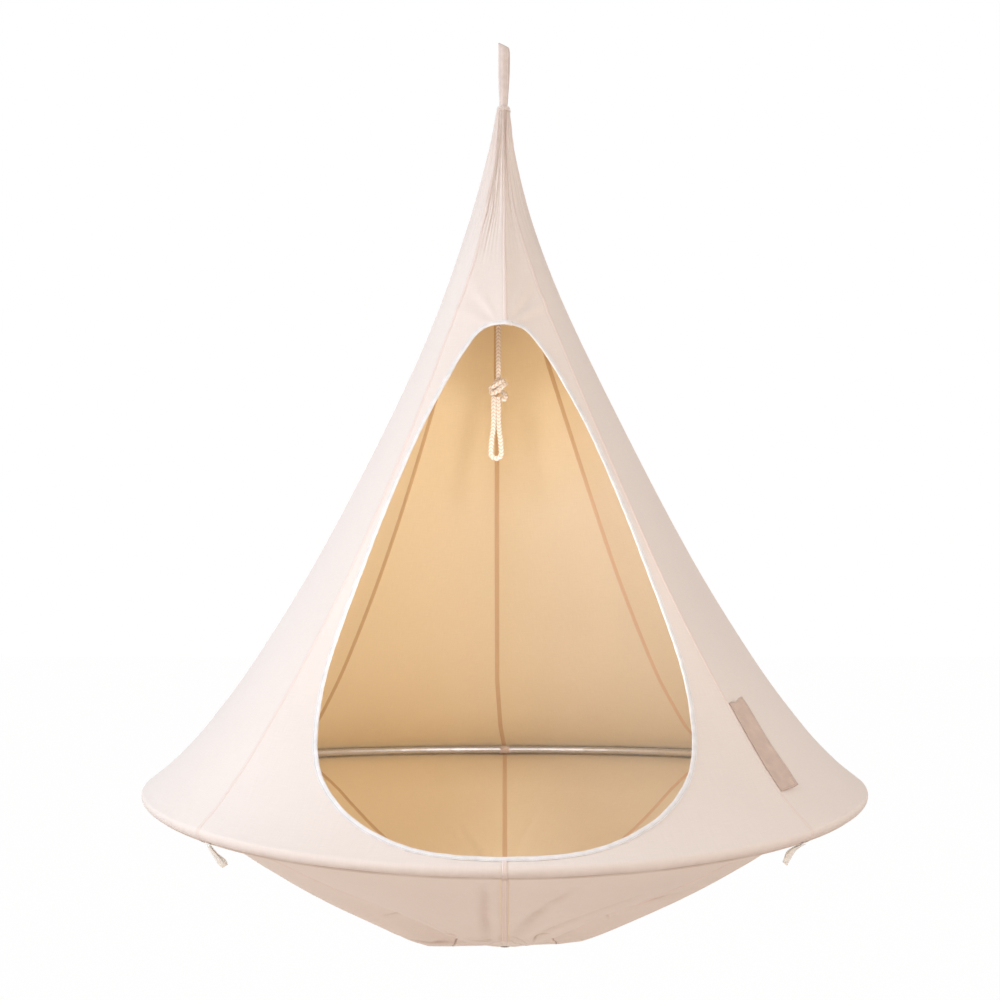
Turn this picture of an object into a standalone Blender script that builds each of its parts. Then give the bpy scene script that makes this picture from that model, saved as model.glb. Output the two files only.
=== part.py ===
"""Hanging cocoon tent: a sewn cloth cone on a jointed aluminium ring, hung from one loop.

Metres, +Z up, -Y is the door side. The origin is where the hanging loop bears on its
hook. Heights in this file are measured up from the ring's level at its two sides, and
azimuths run from the door (0) towards +X (90).
"""

import math

import bmesh
import bpy
import numpy as np
from mathutils import Matrix, Vector

# Ring of eight push-fit tube sections
RING_RADIUS = 0.750
TUBE_RADIUS = 0.010
BORE_RADIUS = 0.0088
SPIGOT_RADIUS = 0.0079
RING_DIP = 0.016
SECTIONS = 8
SECTION_START = 11.25
SECTION_STEPS = 8
JOINT_GAP = 0.0004
SQUARE_END = 0.4
TAB_WIDTH = 0.025
TAB_RADIUS = 0.0111
TAB_CLOTH = 0.0007

# Cloth cover, whose stations are (height, radius) along a seam
PANELS = 8
PANEL_ANGLE = 360 / PANELS
CLOTH = 0.0012
SEAM_GAP = 0.0004
WRAP_RADIUS = 0.0133
WRAP_TOP = 45.0
WRAP_END = -58.0
WRAP_ROWS = 5
NECK_HEIGHT = 1.514
COVER_STATIONS = (
    (1.514, 0.0122),
    (1.395, 0.0310),
    (1.228, 0.0750),
    (1.008, 0.1560),
    (0.736, 0.2825),
    (0.469, 0.4210),
    (0.257, 0.5500),
    (0.126, 0.6450),
    (0.052, 0.7100),
    (0.0093, 0.7593),
)
COVER_ROWS = 13
ROUND_HEIGHT = 0.60
COLUMNS = 8

# Cloth base, whose stations are (radius, height) along a seam; it sags between its seams
BASE_START = -61.5
BASE_STATIONS = (
    (0.690, -0.034),
    (0.600, -0.078),
    (0.530, -0.119),
    (0.434, -0.170),
    (0.285, -0.237),
    (0.200, -0.278),
    (0.129, -0.313),
)
GORE_BELLY = 0.0235
GORE_DROOP = 0.051
DROOP_RADIUS = 0.195
DROOP_SPREAD = 0.19
HEM_TAUTNESS = 0.25
END_SLACK = 0.38

# Small bottom panel and its drain eyelet
BOTTOM_RADIUS = 0.1275
BOTTOM_CENTRE = -0.3565
BOTTOM_COLUMNS = 24
BOTTOM_HOLE = 0.0080
EYELET_SEAT = 0.018
EYELET_RADIUS = 0.015
EYELET_BORE = 0.0055
EYELET_BARREL = 0.0075
EYELET_CROWN = 0.0036
EYELET_SIDES = 20
WASHER_THICKNESS = 0.0011
FIT_GAP = 0.0004

# Door outline, half of it, as (half width, height) seen square on
DOOR_OUTLINE = (
    (0.000, 0.972),
    (0.045, 0.962),
    (0.083, 0.915),
    (0.117, 0.855),
    (0.169, 0.750),
    (0.211, 0.647),
    (0.2475, 0.547),
    (0.279, 0.450),
    (0.308, 0.357),
    (0.331, 0.268),
    (0.339, 0.195),
    (0.3335, 0.125),
    (0.307, 0.073),
    (0.243, 0.026),
    (0.140, -0.005),
    (0.000, -0.0123),
)
BINDING_WIDTH = 0.009
BINDING_PROUD = 0.0008

# Hanging loop of sheathed webbing, and the flexible neck that it is sewn into
RING_DROP = 1.656
LOOP_WIDTH = 0.025
LOOP_NECK_WIDTH = 0.013
LOOP_THICKNESS = 0.004
LOOP_TAIL = 1.513
LOOP_PARTING = 1.526
EYE_RADIUS = 0.006
EYE_LENGTH = 0.055
EYE_WAIST = 0.028
LEG_GAP = 0.0008
SWING_HEIGHT = 1.519
HEM_RADIUS = 0.0106
HEM_BORE = 0.0094
HEM_LOW = 1.516
HEM_HIGH = 1.525

# Bundle of webbing ends sewn into the tip, which the cover and the rope hang from
BLOCK_HEIGHTS = (1.500, 1.470, 1.432)
BLOCK_CLEARANCE = 0.0007

# Grab rope with its knot and hand loop
ROPE_RADIUS = 0.006
ROPE_X = -0.0145
ROPE_PIVOT = 1.4257
ROPE_POINTS = 18
SOCKET_GAP = 0.0003
KNOT_TOP = 0.885
KNOT_CENTRE = 0.858
LOOP_PIVOT = 0.829
LOOP_BOTTOM = 0.698
LOOP_X = -0.0195
STRAND_SPREAD = 0.0064
LOOP_SPREAD = 0.0115

# Tie loops of cotton tape under the ring
TIE_SIDES = ("front_right", "back_right", "back_left", "front_left")
TIE_WIDTH = 0.010
TIE_TAPE = 0.0012
TIE_SLIT = 0.0014
TIE_EYE = 0.0042
TIE_SEWN = 0.012
TIE_LENGTH = 0.056
TIE_LEAN = 42.0
TIE_ROOT_RADIUS = 0.757
TIE_ROOT_DROP = 0.0145

# Bare flap sewn along the front right seam by one long edge
FLAP_TOP = 0.228
FLAP_BOTTOM = 0.090
FLAP_WIDTH = 0.036
FLAP_START = 0.4
FLAP_THICKNESS = 0.0010
FLAP_LIFT = 0.0022

SHARP_ANGLE = math.radians(40)
CUTTER_DEPTH = 0.4

SIDES = (
    "front",
    "front_right",
    "right",
    "back_right",
    "back",
    "back_left",
    "left",
    "front_left",
)
PANEL_NAMES = (
    "front_right",
    "right_front",
    "right_back",
    "back_right",
    "back_left",
    "left_back",
    "left_front",
    "front_left",
)


def clear_scene():
    for item in list(bpy.data.objects):
        bpy.data.objects.remove(item)


def new_collection(name):
    collection = bpy.data.collections.new(name)
    bpy.context.scene.collection.children.link(collection)
    return collection


def material(name, colour, roughness, metallic=0.0):
    made = bpy.data.materials.new(name)
    made.use_nodes = True
    shader = made.node_tree.nodes["Principled BSDF"]
    shader.inputs["Base Color"].default_value = (*colour, 1)
    shader.inputs["Roughness"].default_value = roughness
    shader.inputs["Metallic"].default_value = metallic
    return made


def place(x, y, height):
    """A point in the object's own frame, from its height above the ring's side level."""
    return Vector((x, y, height - RING_DROP))


def polar(radius, azimuth, height):
    angle = math.radians(azimuth)
    return place(radius * math.sin(angle), -radius * math.cos(angle), height)


def smooth(points, steps, closed=False):
    """Points along a Catmull-Rom curve through the given ones."""
    rows = [Vector(point) for point in points]
    count = len(rows)
    made = []
    for i in range(count if closed else count - 1):
        if closed:
            before, start, end, after = (rows[(i + j) % count] for j in (-1, 0, 1, 2))
        else:
            start, end = rows[i], rows[i + 1]
            before = rows[i - 1] if i else start * 2 - end
            after = rows[i + 2] if i + 2 < count else end * 2 - start
        for step in range(steps):
            t = step / steps
            slope = (end - before) * t + (before * 2 - start * 5 + end * 4 - after) * t**2
            made.append(start + (slope + (start * 3 - before - end * 3 + after) * t**3) / 2)
    if not closed:
        made.append(rows[-1])
    return made


def arc(centre, radius, first, last, steps):
    """Points of a flat arc, its angles in degrees from +X."""
    turns = [math.radians(first + (last - first) * i / steps) for i in range(steps + 1)]
    return [Vector(centre) + Vector((math.cos(turn), math.sin(turn))) * radius for turn in turns]


def mirrored(points):
    """The points, then their mirror images across the Y axis, back to the start."""
    return points + [Vector((-point.x, point.y)) for point in reversed(points) if point.x]


COVER_CURVE = np.array([tuple(point) for point in smooth(COVER_STATIONS, 12)])[::-1]


def cover_radius(height):
    return float(np.interp(height, COVER_CURVE[:, 0], COVER_CURVE[:, 1]))


def ring_dip(azimuth):
    """The ring is lower at the door and at the back than at its sides."""
    return -RING_DIP * (1 + math.cos(2 * math.radians(azimuth)))


def from_mid_panel(azimuth):
    """Degrees from the middle of the panel that holds this azimuth."""
    return azimuth % PANEL_ANGLE - PANEL_ANGLE / 2


def octagon(azimuth, roundness):
    """Radius of the outline between a flat-sided octagon (0) and a circle (1)."""
    flat = math.cos(math.radians(PANEL_ANGLE / 2))
    flat /= math.cos(math.radians(from_mid_panel(azimuth)))
    return flat + (1 - flat) * roundness


def cover_point(height, azimuth, offset=0.0):
    roundness = max(0.0, 1 - height / ROUND_HEIGHT) ** 2
    radius = (cover_radius(height) + offset) * octagon(azimuth, roundness)
    dip = ring_dip(azimuth) * (1 - height / NECK_HEIGHT)
    return polar(radius, azimuth, height + dip)


def wrap_point(angle, azimuth):
    """A point on the cloth where it goes round the tube, angle 0 being outermost."""
    turn = math.radians(angle)
    out = RING_RADIUS + WRAP_RADIUS * math.cos(turn)
    return polar(out, azimuth, WRAP_RADIUS * math.sin(turn) + ring_dip(azimuth))


def cover_rows(azimuth):
    low = COVER_STATIONS[-1][0]
    rows = []
    for i in range(COVER_ROWS):
        share = i / COVER_ROWS
        height = NECK_HEIGHT + (low - NECK_HEIGHT) * share * (1.25 - 0.25 * share)
        rows.append(cover_point(height, azimuth))
    wraps = np.linspace(WRAP_TOP, WRAP_END, WRAP_ROWS)
    return rows + [wrap_point(angle, azimuth) for angle in wraps]


def slackness(azimuth):
    """The panels at the door and at the back are tauter than those at the sides."""
    middle = math.radians(azimuth - from_mid_panel(azimuth))
    return 1.0 if abs(math.sin(middle)) > abs(math.cos(middle)) else END_SLACK


def base_sag(radius, azimuth):
    """How far the slack cloth hangs below the seam line, most of it half way between seams."""
    inner = BASE_STATIONS[-1][0]
    share = (radius - inner) / (RING_RADIUS - inner)
    droop = GORE_DROOP * math.exp(-(((radius - DROOP_RADIUS) / DROOP_SPREAD) ** 2))
    slack = 1 - HEM_TAUTNESS * max(0.0, 1 - share * 12)
    between = math.cos(math.pi * from_mid_panel(azimuth) / PANEL_ANGLE) ** 2
    sag = GORE_BELLY * math.sin(math.pi * share) ** 2 + droop * slack
    return sag * between * slackness(azimuth)


def base_point(radius, height, azimuth):
    inner = BASE_STATIONS[-1][0]
    share = (radius - inner) / (RING_RADIUS - inner)
    out = radius * octagon(azimuth, min(1.0, share * 1.6))
    dip = ring_dip(azimuth) * share**2
    return polar(out, azimuth, height - base_sag(radius, azimuth) + dip)


def base_rows(azimuth):
    rows = [wrap_point(angle, azimuth) for angle in (BASE_START, BASE_START - 4)]
    return rows + [base_point(radius, height, azimuth) for radius, height in BASE_STATIONS]


def bottom_rows(azimuth):
    """The bottom panel's line from its hem to the flat seat of the eyelet."""
    inner, seam_height = BASE_STATIONS[-1]
    edge = seam_height - base_sag(inner, azimuth)
    rows = []
    for share in (1.0, 0.8, 0.55, 0.3):
        height = BOTTOM_CENTRE + (edge - BOTTOM_CENTRE) * share**2
        rows.append(polar(BOTTOM_RADIUS * share * octagon(azimuth, 1 - share**4), azimuth, height))
    for radius in (EYELET_SEAT, BOTTOM_HOLE):
        rows.append(polar(radius, azimuth, BOTTOM_CENTRE))
    return rows


def grid_mesh(name, lines, closed=False):
    """A sheet with one line of points for each azimuth, its faces pointing out."""
    mesh = bmesh.new()
    columns = [[mesh.verts.new(point) for point in line] for line in lines]
    pairs = list(zip(columns, columns[1:]))
    if closed:
        pairs.append((columns[-1], columns[0]))
    for left, right in pairs:
        for i in range(len(left) - 1):
            mesh.faces.new((left[i], left[i + 1], right[i + 1], right[i]))
    # Both walls of the cloth then turn on the same diagonals, and can't pass through each other
    bmesh.ops.triangulate(mesh, faces=mesh.faces)
    data = bpy.data.meshes.new(name)
    mesh.to_mesh(data)
    mesh.free()
    data.shade_smooth()
    return data


def add_object(name, data, collection, finish):
    made = bpy.data.objects.new(name, data)
    collection.objects.link(made)
    if finish is not None:
        data.materials.clear()
        data.materials.append(finish)
    return made


def add_solidify(item, thickness, offset=-1.0):
    wall = item.modifiers.new("Wall", "SOLIDIFY")
    wall.thickness = thickness
    wall.offset = offset
    wall.use_even_offset = True


def add_boolean(item, other, operation):
    cut = item.modifiers.new(operation.title(), "BOOLEAN")
    cut.operation = operation
    cut.object = other
    cut.solver = "EXACT"


def as_cutter(item, cutters):
    for collection in list(item.users_collection):
        collection.objects.unlink(item)
    cutters.objects.link(item)
    item.hide_render = True
    item.display_type = "WIRE"
    return item


def to_mesh(item, collection, finish):
    """Replaces a curve or a turned profile by its closed mesh, shaded smooth up to its edges."""
    name = item.name
    bpy.context.view_layer.update()
    graph = bpy.context.evaluated_depsgraph_get()
    data = bpy.data.meshes.new_from_object(item.evaluated_get(graph))
    mesh = bmesh.new()
    mesh.from_mesh(data)
    bmesh.ops.remove_doubles(mesh, verts=mesh.verts, dist=1e-6)
    bmesh.ops.recalc_face_normals(mesh, faces=mesh.faces)
    mesh.to_mesh(data)
    mesh.free()
    data.shade_smooth()
    data.set_sharp_from_angle(angle=SHARP_ANGLE)
    matrix = item.matrix_world.copy()
    bpy.data.objects.remove(item)
    made = add_object(name, data, collection, finish)
    made.matrix_world = matrix
    return made


def tube(name, points, radius, resolution, collection, finish, radii=None):
    """A round rod along the points, as a poly curve with filled caps."""
    data = bpy.data.curves.new(name, "CURVE")
    data.dimensions = "3D"
    data.twist_mode = "Z_UP"
    data.bevel_depth = radius
    data.bevel_resolution = resolution
    data.use_fill_caps = True
    spline = data.splines.new("POLY")
    spline.points.add(len(points) - 1)
    for i, point in enumerate(points):
        spline.points[i].co = (*point, 1)
        spline.points[i].radius = radii[i] if radii else 1.0
    return add_object(name, data, collection, finish)


def flat_outline(name, loops, half_depth, collection, finish, matrix):
    """A flat outline with any holes in it, extruded both ways and made a mesh."""
    data = bpy.data.curves.new(name, "CURVE")
    data.dimensions = "2D"
    data.fill_mode = "BOTH"
    data.extrude = half_depth
    for loop in loops:
        spline = data.splines.new("POLY")
        spline.points.add(len(loop) - 1)
        spline.use_cyclic_u = True
        for i, point in enumerate(loop):
            spline.points[i].co = (point[0], point[1], 0, 1)
    item = add_object(name, data, collection, None)
    item.matrix_world = matrix
    return to_mesh(item, collection, finish)


def turned(name, profile, sides, collection, finish, x=0.0):
    """A profile of (radius, height) pairs, down its outer side, turned about Z."""
    mesh = bmesh.new()
    verts = [mesh.verts.new((radius, 0, height)) for radius, height in profile]
    for i, vert in enumerate(verts):
        mesh.edges.new((vert, verts[(i + 1) % len(verts)]))
    data = bpy.data.meshes.new(name)
    mesh.to_mesh(data)
    mesh.free()
    item = add_object(name, data, collection, finish)
    item.location = place(x, 0, 0)
    screw = item.modifiers.new("Turn", "SCREW")
    screw.axis = "Z"
    screw.angle = math.tau
    screw.steps = sides
    screw.render_steps = sides
    screw.use_merge_vertices = True
    screw.merge_threshold = 0.00001
    return to_mesh(item, collection, finish)


def pivot(name, at, pieces, parts):
    """An empty on a joint's axis that carries the pieces that move with it."""
    empty = bpy.data.objects.new(name, None)
    parts.objects.link(empty)
    empty.empty_display_size = 0.05
    empty.matrix_world = Matrix.Translation(at)
    for piece in pieces:
        piece.parent = empty
        piece.matrix_parent_inverse = Matrix.Translation(at).inverted()
    return empty


def offset_loop(loop, distance):
    """The closed outline moved outwards by a distance, for one that runs clockwise."""
    made = []
    for i, point in enumerate(loop):
        along = loop[(i + 1) % len(loop)] - loop[i - 1]
        made.append(point + Vector((-along.y, along.x)).normalized() * distance)
    return made


def door_loop(distance=0.0):
    right = [Vector((x, height - RING_DROP)) for x, height in DOOR_OUTLINE]
    left = [Vector((-point.x, point.y)) for point in right[-2:0:-1]]
    return offset_loop(smooth(right + left, 2, closed=True), distance)


def upright(y):
    """Stands a flat outline up in the XZ plane at a distance along Y."""
    return Matrix.Translation((0, y, 0)) @ Matrix.Rotation(math.pi / 2, 4, "X")


def front_space(name, loops, cutters):
    """A cutter through the front half of the cover only."""
    middle = upright(-CUTTER_DEPTH - FIT_GAP)
    return as_cutter(flat_outline(name, loops, CUTTER_DEPTH, cutters, None, middle), cutters)


def wedge_cutter(number, cutters):
    """The space of one panel between its two seam planes, less the seam gap."""
    middle = math.radians((number + 0.5) * PANEL_ANGLE)
    half = math.radians(PANEL_ANGLE / 2)
    apex = Vector((math.sin(middle), -math.cos(middle))) * (SEAM_GAP / 2 / math.sin(half))
    corners = [apex]
    for side in (-half, half):
        angle = middle + side
        corners.append(apex + Vector((math.sin(angle), -math.cos(angle))) * 2)
    matrix = Matrix.Translation((0, 0, NECK_HEIGHT / 2 - RING_DROP))
    item = flat_outline(f"panel_space_{number + 1}", [corners], 1.6, cutters, None, matrix)
    return as_cutter(item, cutters)


def azimuths(first, last, step=PANEL_ANGLE / COLUMNS):
    count = round((last - first) / step)
    return [first + step * i for i in range(count + 1)]


def make_panels(kind, rows_at, spaces, parts, cloth):
    """Eight tapering panels cut from one shell by the seam planes."""
    spare = PANEL_ANGLE / COLUMNS
    panels = []
    for number, name in enumerate(PANEL_NAMES):
        first = number * PANEL_ANGLE
        span = azimuths(first - spare, first + PANEL_ANGLE + spare)
        data = grid_mesh(f"{kind}_{name}", [rows_at(azimuth) for azimuth in span])
        panel = add_object(f"{kind}_panel_{name}", data, parts, cloth)
        add_solidify(panel, CLOTH)
        add_boolean(panel, spaces[number], "INTERSECT")
        panels.append(panel)
    return panels


def make_cloth(parts, cutters, cloth):
    spaces = [wedge_cutter(number, cutters) for number in range(PANELS)]
    cover = make_panels("cover", cover_rows, spaces, parts, cloth)
    door = front_space("door_space", [door_loop(BINDING_WIDTH + SEAM_GAP)], cutters)
    for panel in (cover[0], cover[-1]):
        add_boolean(panel, door, "DIFFERENCE")
    return cover + make_panels("base", base_rows, spaces, parts, cloth)


def make_binding(parts, cutters, tape):
    """The tape round the door, folded over the cloth's edge and standing a little proud."""
    frame = front_space("binding_space", [door_loop(BINDING_WIDTH), door_loop()], cutters)
    lines = [cover_rows(azimuth) for azimuth in azimuths(-PANEL_ANGLE, PANEL_ANGLE)]
    item = add_object("door_binding", grid_mesh("door_binding", lines), parts, tape)
    thickness = CLOTH + 2 * BINDING_PROUD
    add_solidify(item, thickness, offset=-1 + 2 * BINDING_PROUD / thickness)
    add_boolean(item, frame, "INTERSECT")
    return item


def make_bottom(parts, cloth, steel):
    """The bottom panel, and the eyelet clinched through it over a washer."""
    step = 360 / BOTTOM_COLUMNS
    lines = [bottom_rows(azimuth) for azimuth in azimuths(0, 360 - step, step)]
    data = grid_mesh("bottom_panel", lines, closed=True)
    panel = add_object("bottom_panel", data, parts, cloth)
    add_solidify(panel, CLOTH)
    low = BOTTOM_CENTRE - SOCKET_GAP
    high = BOTTOM_CENTRE + CLOTH
    lip = high + EYELET_CROWN
    eyelet = (
        (EYELET_BARREL, lip),
        (EYELET_BARREL, low),
        (EYELET_RADIUS - 0.0008, low),
        (EYELET_RADIUS, low - EYELET_CROWN * 0.45),
        (EYELET_RADIUS - 0.0035, low - EYELET_CROWN),
        (EYELET_BORE + 0.0012, low - EYELET_CROWN),
        (EYELET_BORE, low - EYELET_CROWN * 0.65),
        (EYELET_BORE, lip),
    )
    foot = high + FIT_GAP
    washer = (
        (EYELET_RADIUS - 0.0008, foot + WASHER_THICKNESS),
        (EYELET_RADIUS, foot),
        (EYELET_BARREL + FIT_GAP, foot),
        (EYELET_BARREL + FIT_GAP, foot + WASHER_THICKNESS),
    )
    return [
        panel,
        turned("drain_eyelet", eyelet, EYELET_SIDES, parts, steel),
        turned("eyelet_washer", washer, EYELET_SIDES, parts, steel),
    ]


def ring_point(azimuth):
    return polar(RING_RADIUS, azimuth, ring_dip(azimuth))


def arc_points(first, last):
    """Points of the ring at the cloth columns' azimuths, so that walls run alongside."""
    step = 360 / SECTIONS / SECTION_STEPS
    columns = azimuths(SECTION_START - 360, SECTION_START + 360, step)
    inner = [ring_point(azimuth) for azimuth in columns if first < azimuth < last]
    return [ring_point(first)] + inner + [ring_point(last)]


def along_ring(azimuth, reach, distance):
    """Three points on the tube's own straight steps, a distance to each side of an azimuth."""
    middle = ring_point(azimuth)
    before, after = (ring_point(azimuth + turn) - middle for turn in (-reach, reach))
    return [
        middle + before.normalized() * distance,
        middle,
        middle + after.normalized() * distance,
    ]


def make_section(number, parts, cutters, aluminium):
    """One hollow tube section with square ends, and the spigot in its first joint."""
    half_gap = math.degrees(JOINT_GAP / 2 / RING_RADIUS)
    reach = 360 / SECTIONS / SECTION_STEPS
    first = SECTION_START + number * 360 / SECTIONS
    last = first + 360 / SECTIONS
    points = arc_points(first + half_gap, last - half_gap)
    points.insert(1, ring_point(first + half_gap + SQUARE_END))
    points.insert(-1, ring_point(last - half_gap - SQUARE_END))
    section = tube(f"ring_section_{number + 1}", points, TUBE_RADIUS, 4, parts, aluminium)
    section = to_mesh(section, parts, aluminium)
    points = arc_points(first - reach, last + reach)
    bore = tube(f"bore_{number + 1}", points, BORE_RADIUS, 2, cutters, None)
    bore = as_cutter(to_mesh(bore, cutters, None), cutters)
    add_boolean(section, bore, "DIFFERENCE")
    points = [ring_point(first + turn) for turn in (-reach, 0, reach)]
    spigot = tube(f"ring_spigot_{number + 1}", points, SPIGOT_RADIUS, 2, parts, aluminium)
    return [section, to_mesh(spigot, parts, aluminium)]


def make_ring(parts, cutters, aluminium, webbing):
    pieces = []
    for number in range(SECTIONS):
        pieces += make_section(number, parts, cutters, aluminium)
    reach = 360 / SECTIONS / SECTION_STEPS
    for number, side in enumerate(SIDES):
        points = along_ring(number * PANEL_ANGLE, reach, TAB_WIDTH / 2)
        tab = tube(f"ring_tab_{side}", points, TAB_RADIUS, 4, parts, webbing)
        tab.data.use_fill_caps = False
        add_solidify(tab, TAB_CLOTH)
        pieces.append(tab)
    return pieces


def loop_side(radius, leg, low):
    """Half a side view of the webbing: over the eye, in at its waist and down to the seam."""
    crown = arc((0, -EYE_RADIUS), radius, 90, 0, 6)
    waist = radius - (radius - leg) * 0.25
    down = [crown[-1], Vector((waist, -EYE_WAIST)), Vector((leg, -EYE_LENGTH)), Vector((leg, low))]
    return crown[:-1] + smooth(down, 4)


def make_loop(parts, cutters, webbing):
    """The hanging loop: an eye that narrows to two legs, laid together and sewn."""
    parting = LOOP_PARTING - RING_DROP
    tail = LOOP_TAIL - RING_DROP
    leg = LOOP_THICKNESS + LEG_GAP / 2
    outside = loop_side(EYE_RADIUS + LOOP_THICKNESS, leg, parting) + [Vector((leg, tail))]
    eye = loop_side(EYE_RADIUS, LEG_GAP / 2, parting + 0.006)
    loops = [mirrored(outside), mirrored(eye)]
    turn = Matrix.Rotation(math.pi / 2, 4, "Z") @ Matrix.Rotation(math.pi / 2, 4, "X")
    band = flat_outline("hanging_loop", loops, LOOP_WIDTH / 2, parts, webbing, turn)
    half, neck = LOOP_WIDTH / 2, LOOP_NECK_WIDTH / 2
    edge = [(half, EYE_RADIUS), (half * 0.98, -0.060), (half * 0.80, -0.105), (neck, -0.126)]
    edge.append((neck, tail - 0.01))
    face = mirrored([Vector(point) for point in edge])
    taper = flat_outline("loop_taper", [face], LOOP_WIDTH, cutters, None, upright(0))
    add_boolean(band, as_cutter(taper, cutters), "INTERSECT")


def make_neck(parts, webbing, cloth):
    """The cuff that closes the cover's mouth, and the sewn block that fills its tip."""
    hem = (
        (HEM_RADIUS - 0.0006, HEM_HIGH),
        (HEM_RADIUS, HEM_HIGH - 0.003),
        (HEM_RADIUS, HEM_LOW),
        (HEM_BORE, HEM_LOW),
        (HEM_BORE, HEM_HIGH),
    )
    block = [(0.0, BLOCK_HEIGHTS[0])]
    for height in BLOCK_HEIGHTS:
        inside = (cover_radius(height) - CLOTH) * octagon(PANEL_ANGLE / 2, 0)
        block.append((inside - BLOCK_CLEARANCE, height))
    block.append((0.0, BLOCK_HEIGHTS[-1]))
    hem = turned("neck_hem", hem, 20, parts, cloth)
    return hem, turned("apex_block", block, 16, parts, webbing)


def dome(pivot_height):
    """Heights and relative radii of a rope end that is rounded about its pivot."""
    depths = (1.0, 0.7, 0.3)
    shares = [math.sqrt(max(0.12, 1 - depth**2)) for depth in depths]
    return [pivot_height + ROPE_RADIUS * depth for depth in depths], shares


def make_rope(parts, rope):
    """The standing part of the grab rope, from the block in the tip down to the knot."""
    heights, radii = dome(ROPE_PIVOT)
    heights.append(ROPE_PIVOT)
    heights += list(np.linspace(ROPE_PIVOT - 0.03, KNOT_TOP + SOCKET_GAP, ROPE_POINTS))
    radii += [1.0] * (ROPE_POINTS + 1)
    points = [place(ROPE_X, 0, height) for height in heights]
    item = tube("grab_rope", points, ROPE_RADIUS, 2, parts, rope, radii=radii)
    return to_mesh(item, parts, rope)


def make_hand_loop(parts, rope):
    """One strand down, round the bottom and back up, hanging from the knot."""
    left, right = LOOP_X - STRAND_SPREAD, LOOP_X + STRAND_SPREAD
    bend = LOOP_BOTTOM + ROPE_RADIUS + LOOP_SPREAD
    route = [Vector((left, LOOP_PIVOT)), Vector((left - 0.001, LOOP_PIVOT - 0.04))]
    route.append(Vector((LOOP_X - LOOP_SPREAD, bend + 0.02)))
    route += arc((LOOP_X, bend), LOOP_SPREAD, 180, 360, 4)
    route.append(Vector((LOOP_X + LOOP_SPREAD - 0.0005, bend + 0.02)))
    route += [Vector((right + 0.0005, LOOP_PIVOT - 0.04)), Vector((right, LOOP_PIVOT))]
    middle = [place(point.x, 0, point.y) for point in smooth(route, 3)]
    heights, radii = dome(LOOP_PIVOT)
    first = [place(left, 0, height) for height in heights]
    last = [place(right, 0, height) for height in reversed(heights)]
    radii = radii + [1.0] * len(middle) + radii[::-1]
    item = tube("rope_loop", first + middle + last, ROPE_RADIUS, 2, parts, rope, radii=radii)
    return to_mesh(item, parts, rope)


def knot_wrap(name, shift, tilt, turn, major, minor, cutters):
    """One turn of rope in the knot, tilted from level."""
    bpy.ops.mesh.primitive_torus_add(
        location=place(ROPE_X, 0, KNOT_CENTRE) + Vector(shift),
        rotation=(math.radians(tilt), math.radians(turn), 0),
        major_radius=major,
        minor_radius=minor,
        major_segments=18,
        minor_segments=7,
    )
    item = bpy.context.object
    item.name = name
    return as_cutter(item, cutters)


def make_knot(parts, cutters, rope):
    """A knot of crossing wraps round the standing rope, with a short tail at its lower right."""
    foot = LOOP_PIVOT + ROPE_RADIUS + SOCKET_GAP
    core = (
        (0.0, KNOT_TOP),
        (ROPE_RADIUS, KNOT_TOP),
        (0.0105, KNOT_CENTRE + 0.014),
        (0.0150, KNOT_CENTRE),
        (0.0140, foot),
        (0.0, foot),
    )
    item = turned("rope_knot", core, 14, parts, rope, x=ROPE_X - 0.001)
    wraps = (
        ("knot_wrap_upper", (0.0015, 0, 0.009), -22, 16, 0.0125, 0.0064),
        ("knot_wrap_lower", (-0.0005, 0, -0.006), 20, -14, 0.0150, 0.0066),
        ("knot_wrap_side", (0.004, -0.004, 0.001), 55, 30, 0.0120, 0.0062),
    )
    for name, shift, tilt, turn, major, minor in wraps:
        wrap = knot_wrap(name, shift, tilt, turn, major, minor, cutters)
        add_boolean(item, wrap, "UNION")
    route = (
        place(ROPE_X + 0.0100, -0.004, 0.852),
        place(ROPE_X + 0.0155, -0.007, 0.840),
        place(ROPE_X + 0.0120, -0.011, 0.829),
    )
    tail = tube("knot_tail", smooth(route, 2), ROPE_RADIUS * 0.85, 2, cutters, None)
    add_boolean(item, as_cutter(to_mesh(tail, cutters, None), cutters), "UNION")
    return item


def tie_outline():
    """Side view of a tape loop: two sewn legs that part into a round eye."""
    half = TIE_SLIT / 2 + TIE_TAPE
    centre = (0, -TIE_LENGTH + TIE_EYE + TIE_TAPE)
    legs = [Vector((half, 0)), Vector((half + 0.0003, -TIE_LENGTH * 0.45))]
    bend = arc(centre, TIE_EYE + TIE_TAPE, 15, -90, 5)
    outside = mirrored(legs + bend[:-1] + [Vector((0, bend[-1].y))])
    slit = TIE_SLIT / 2
    gap = [Vector((slit, -TIE_SEWN)), Vector((slit + 0.0003, -TIE_LENGTH * 0.45))]
    bend = arc(centre, TIE_EYE, 15, -90, 5)
    inside = mirrored(gap + bend[:-1] + [Vector((0, bend[-1].y))])
    return [outside, inside]


def make_tie(side, parts, tape):
    """A loop of flat tape at a seam, leaning in under the base."""
    azimuth = SIDES.index(side) * PANEL_ANGLE
    root = polar(TIE_ROOT_RADIUS, azimuth, ring_dip(azimuth) - TIE_ROOT_DROP)
    stand = Matrix.Rotation(math.pi / 2, 4, "Z") @ Matrix.Rotation(math.pi / 2, 4, "X")
    swing = Matrix.Rotation(math.radians(TIE_LEAN), 4, "X")
    turn = Matrix.Rotation(math.radians(azimuth), 4, "Z")
    matrix = Matrix.Translation(root) @ turn @ swing @ stand
    tie = flat_outline(f"tie_loop_{side}", tie_outline(), TIE_WIDTH / 2, parts, tape, matrix)
    return pivot(f"tie_axis_{side}", root, [tie], parts)


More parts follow.
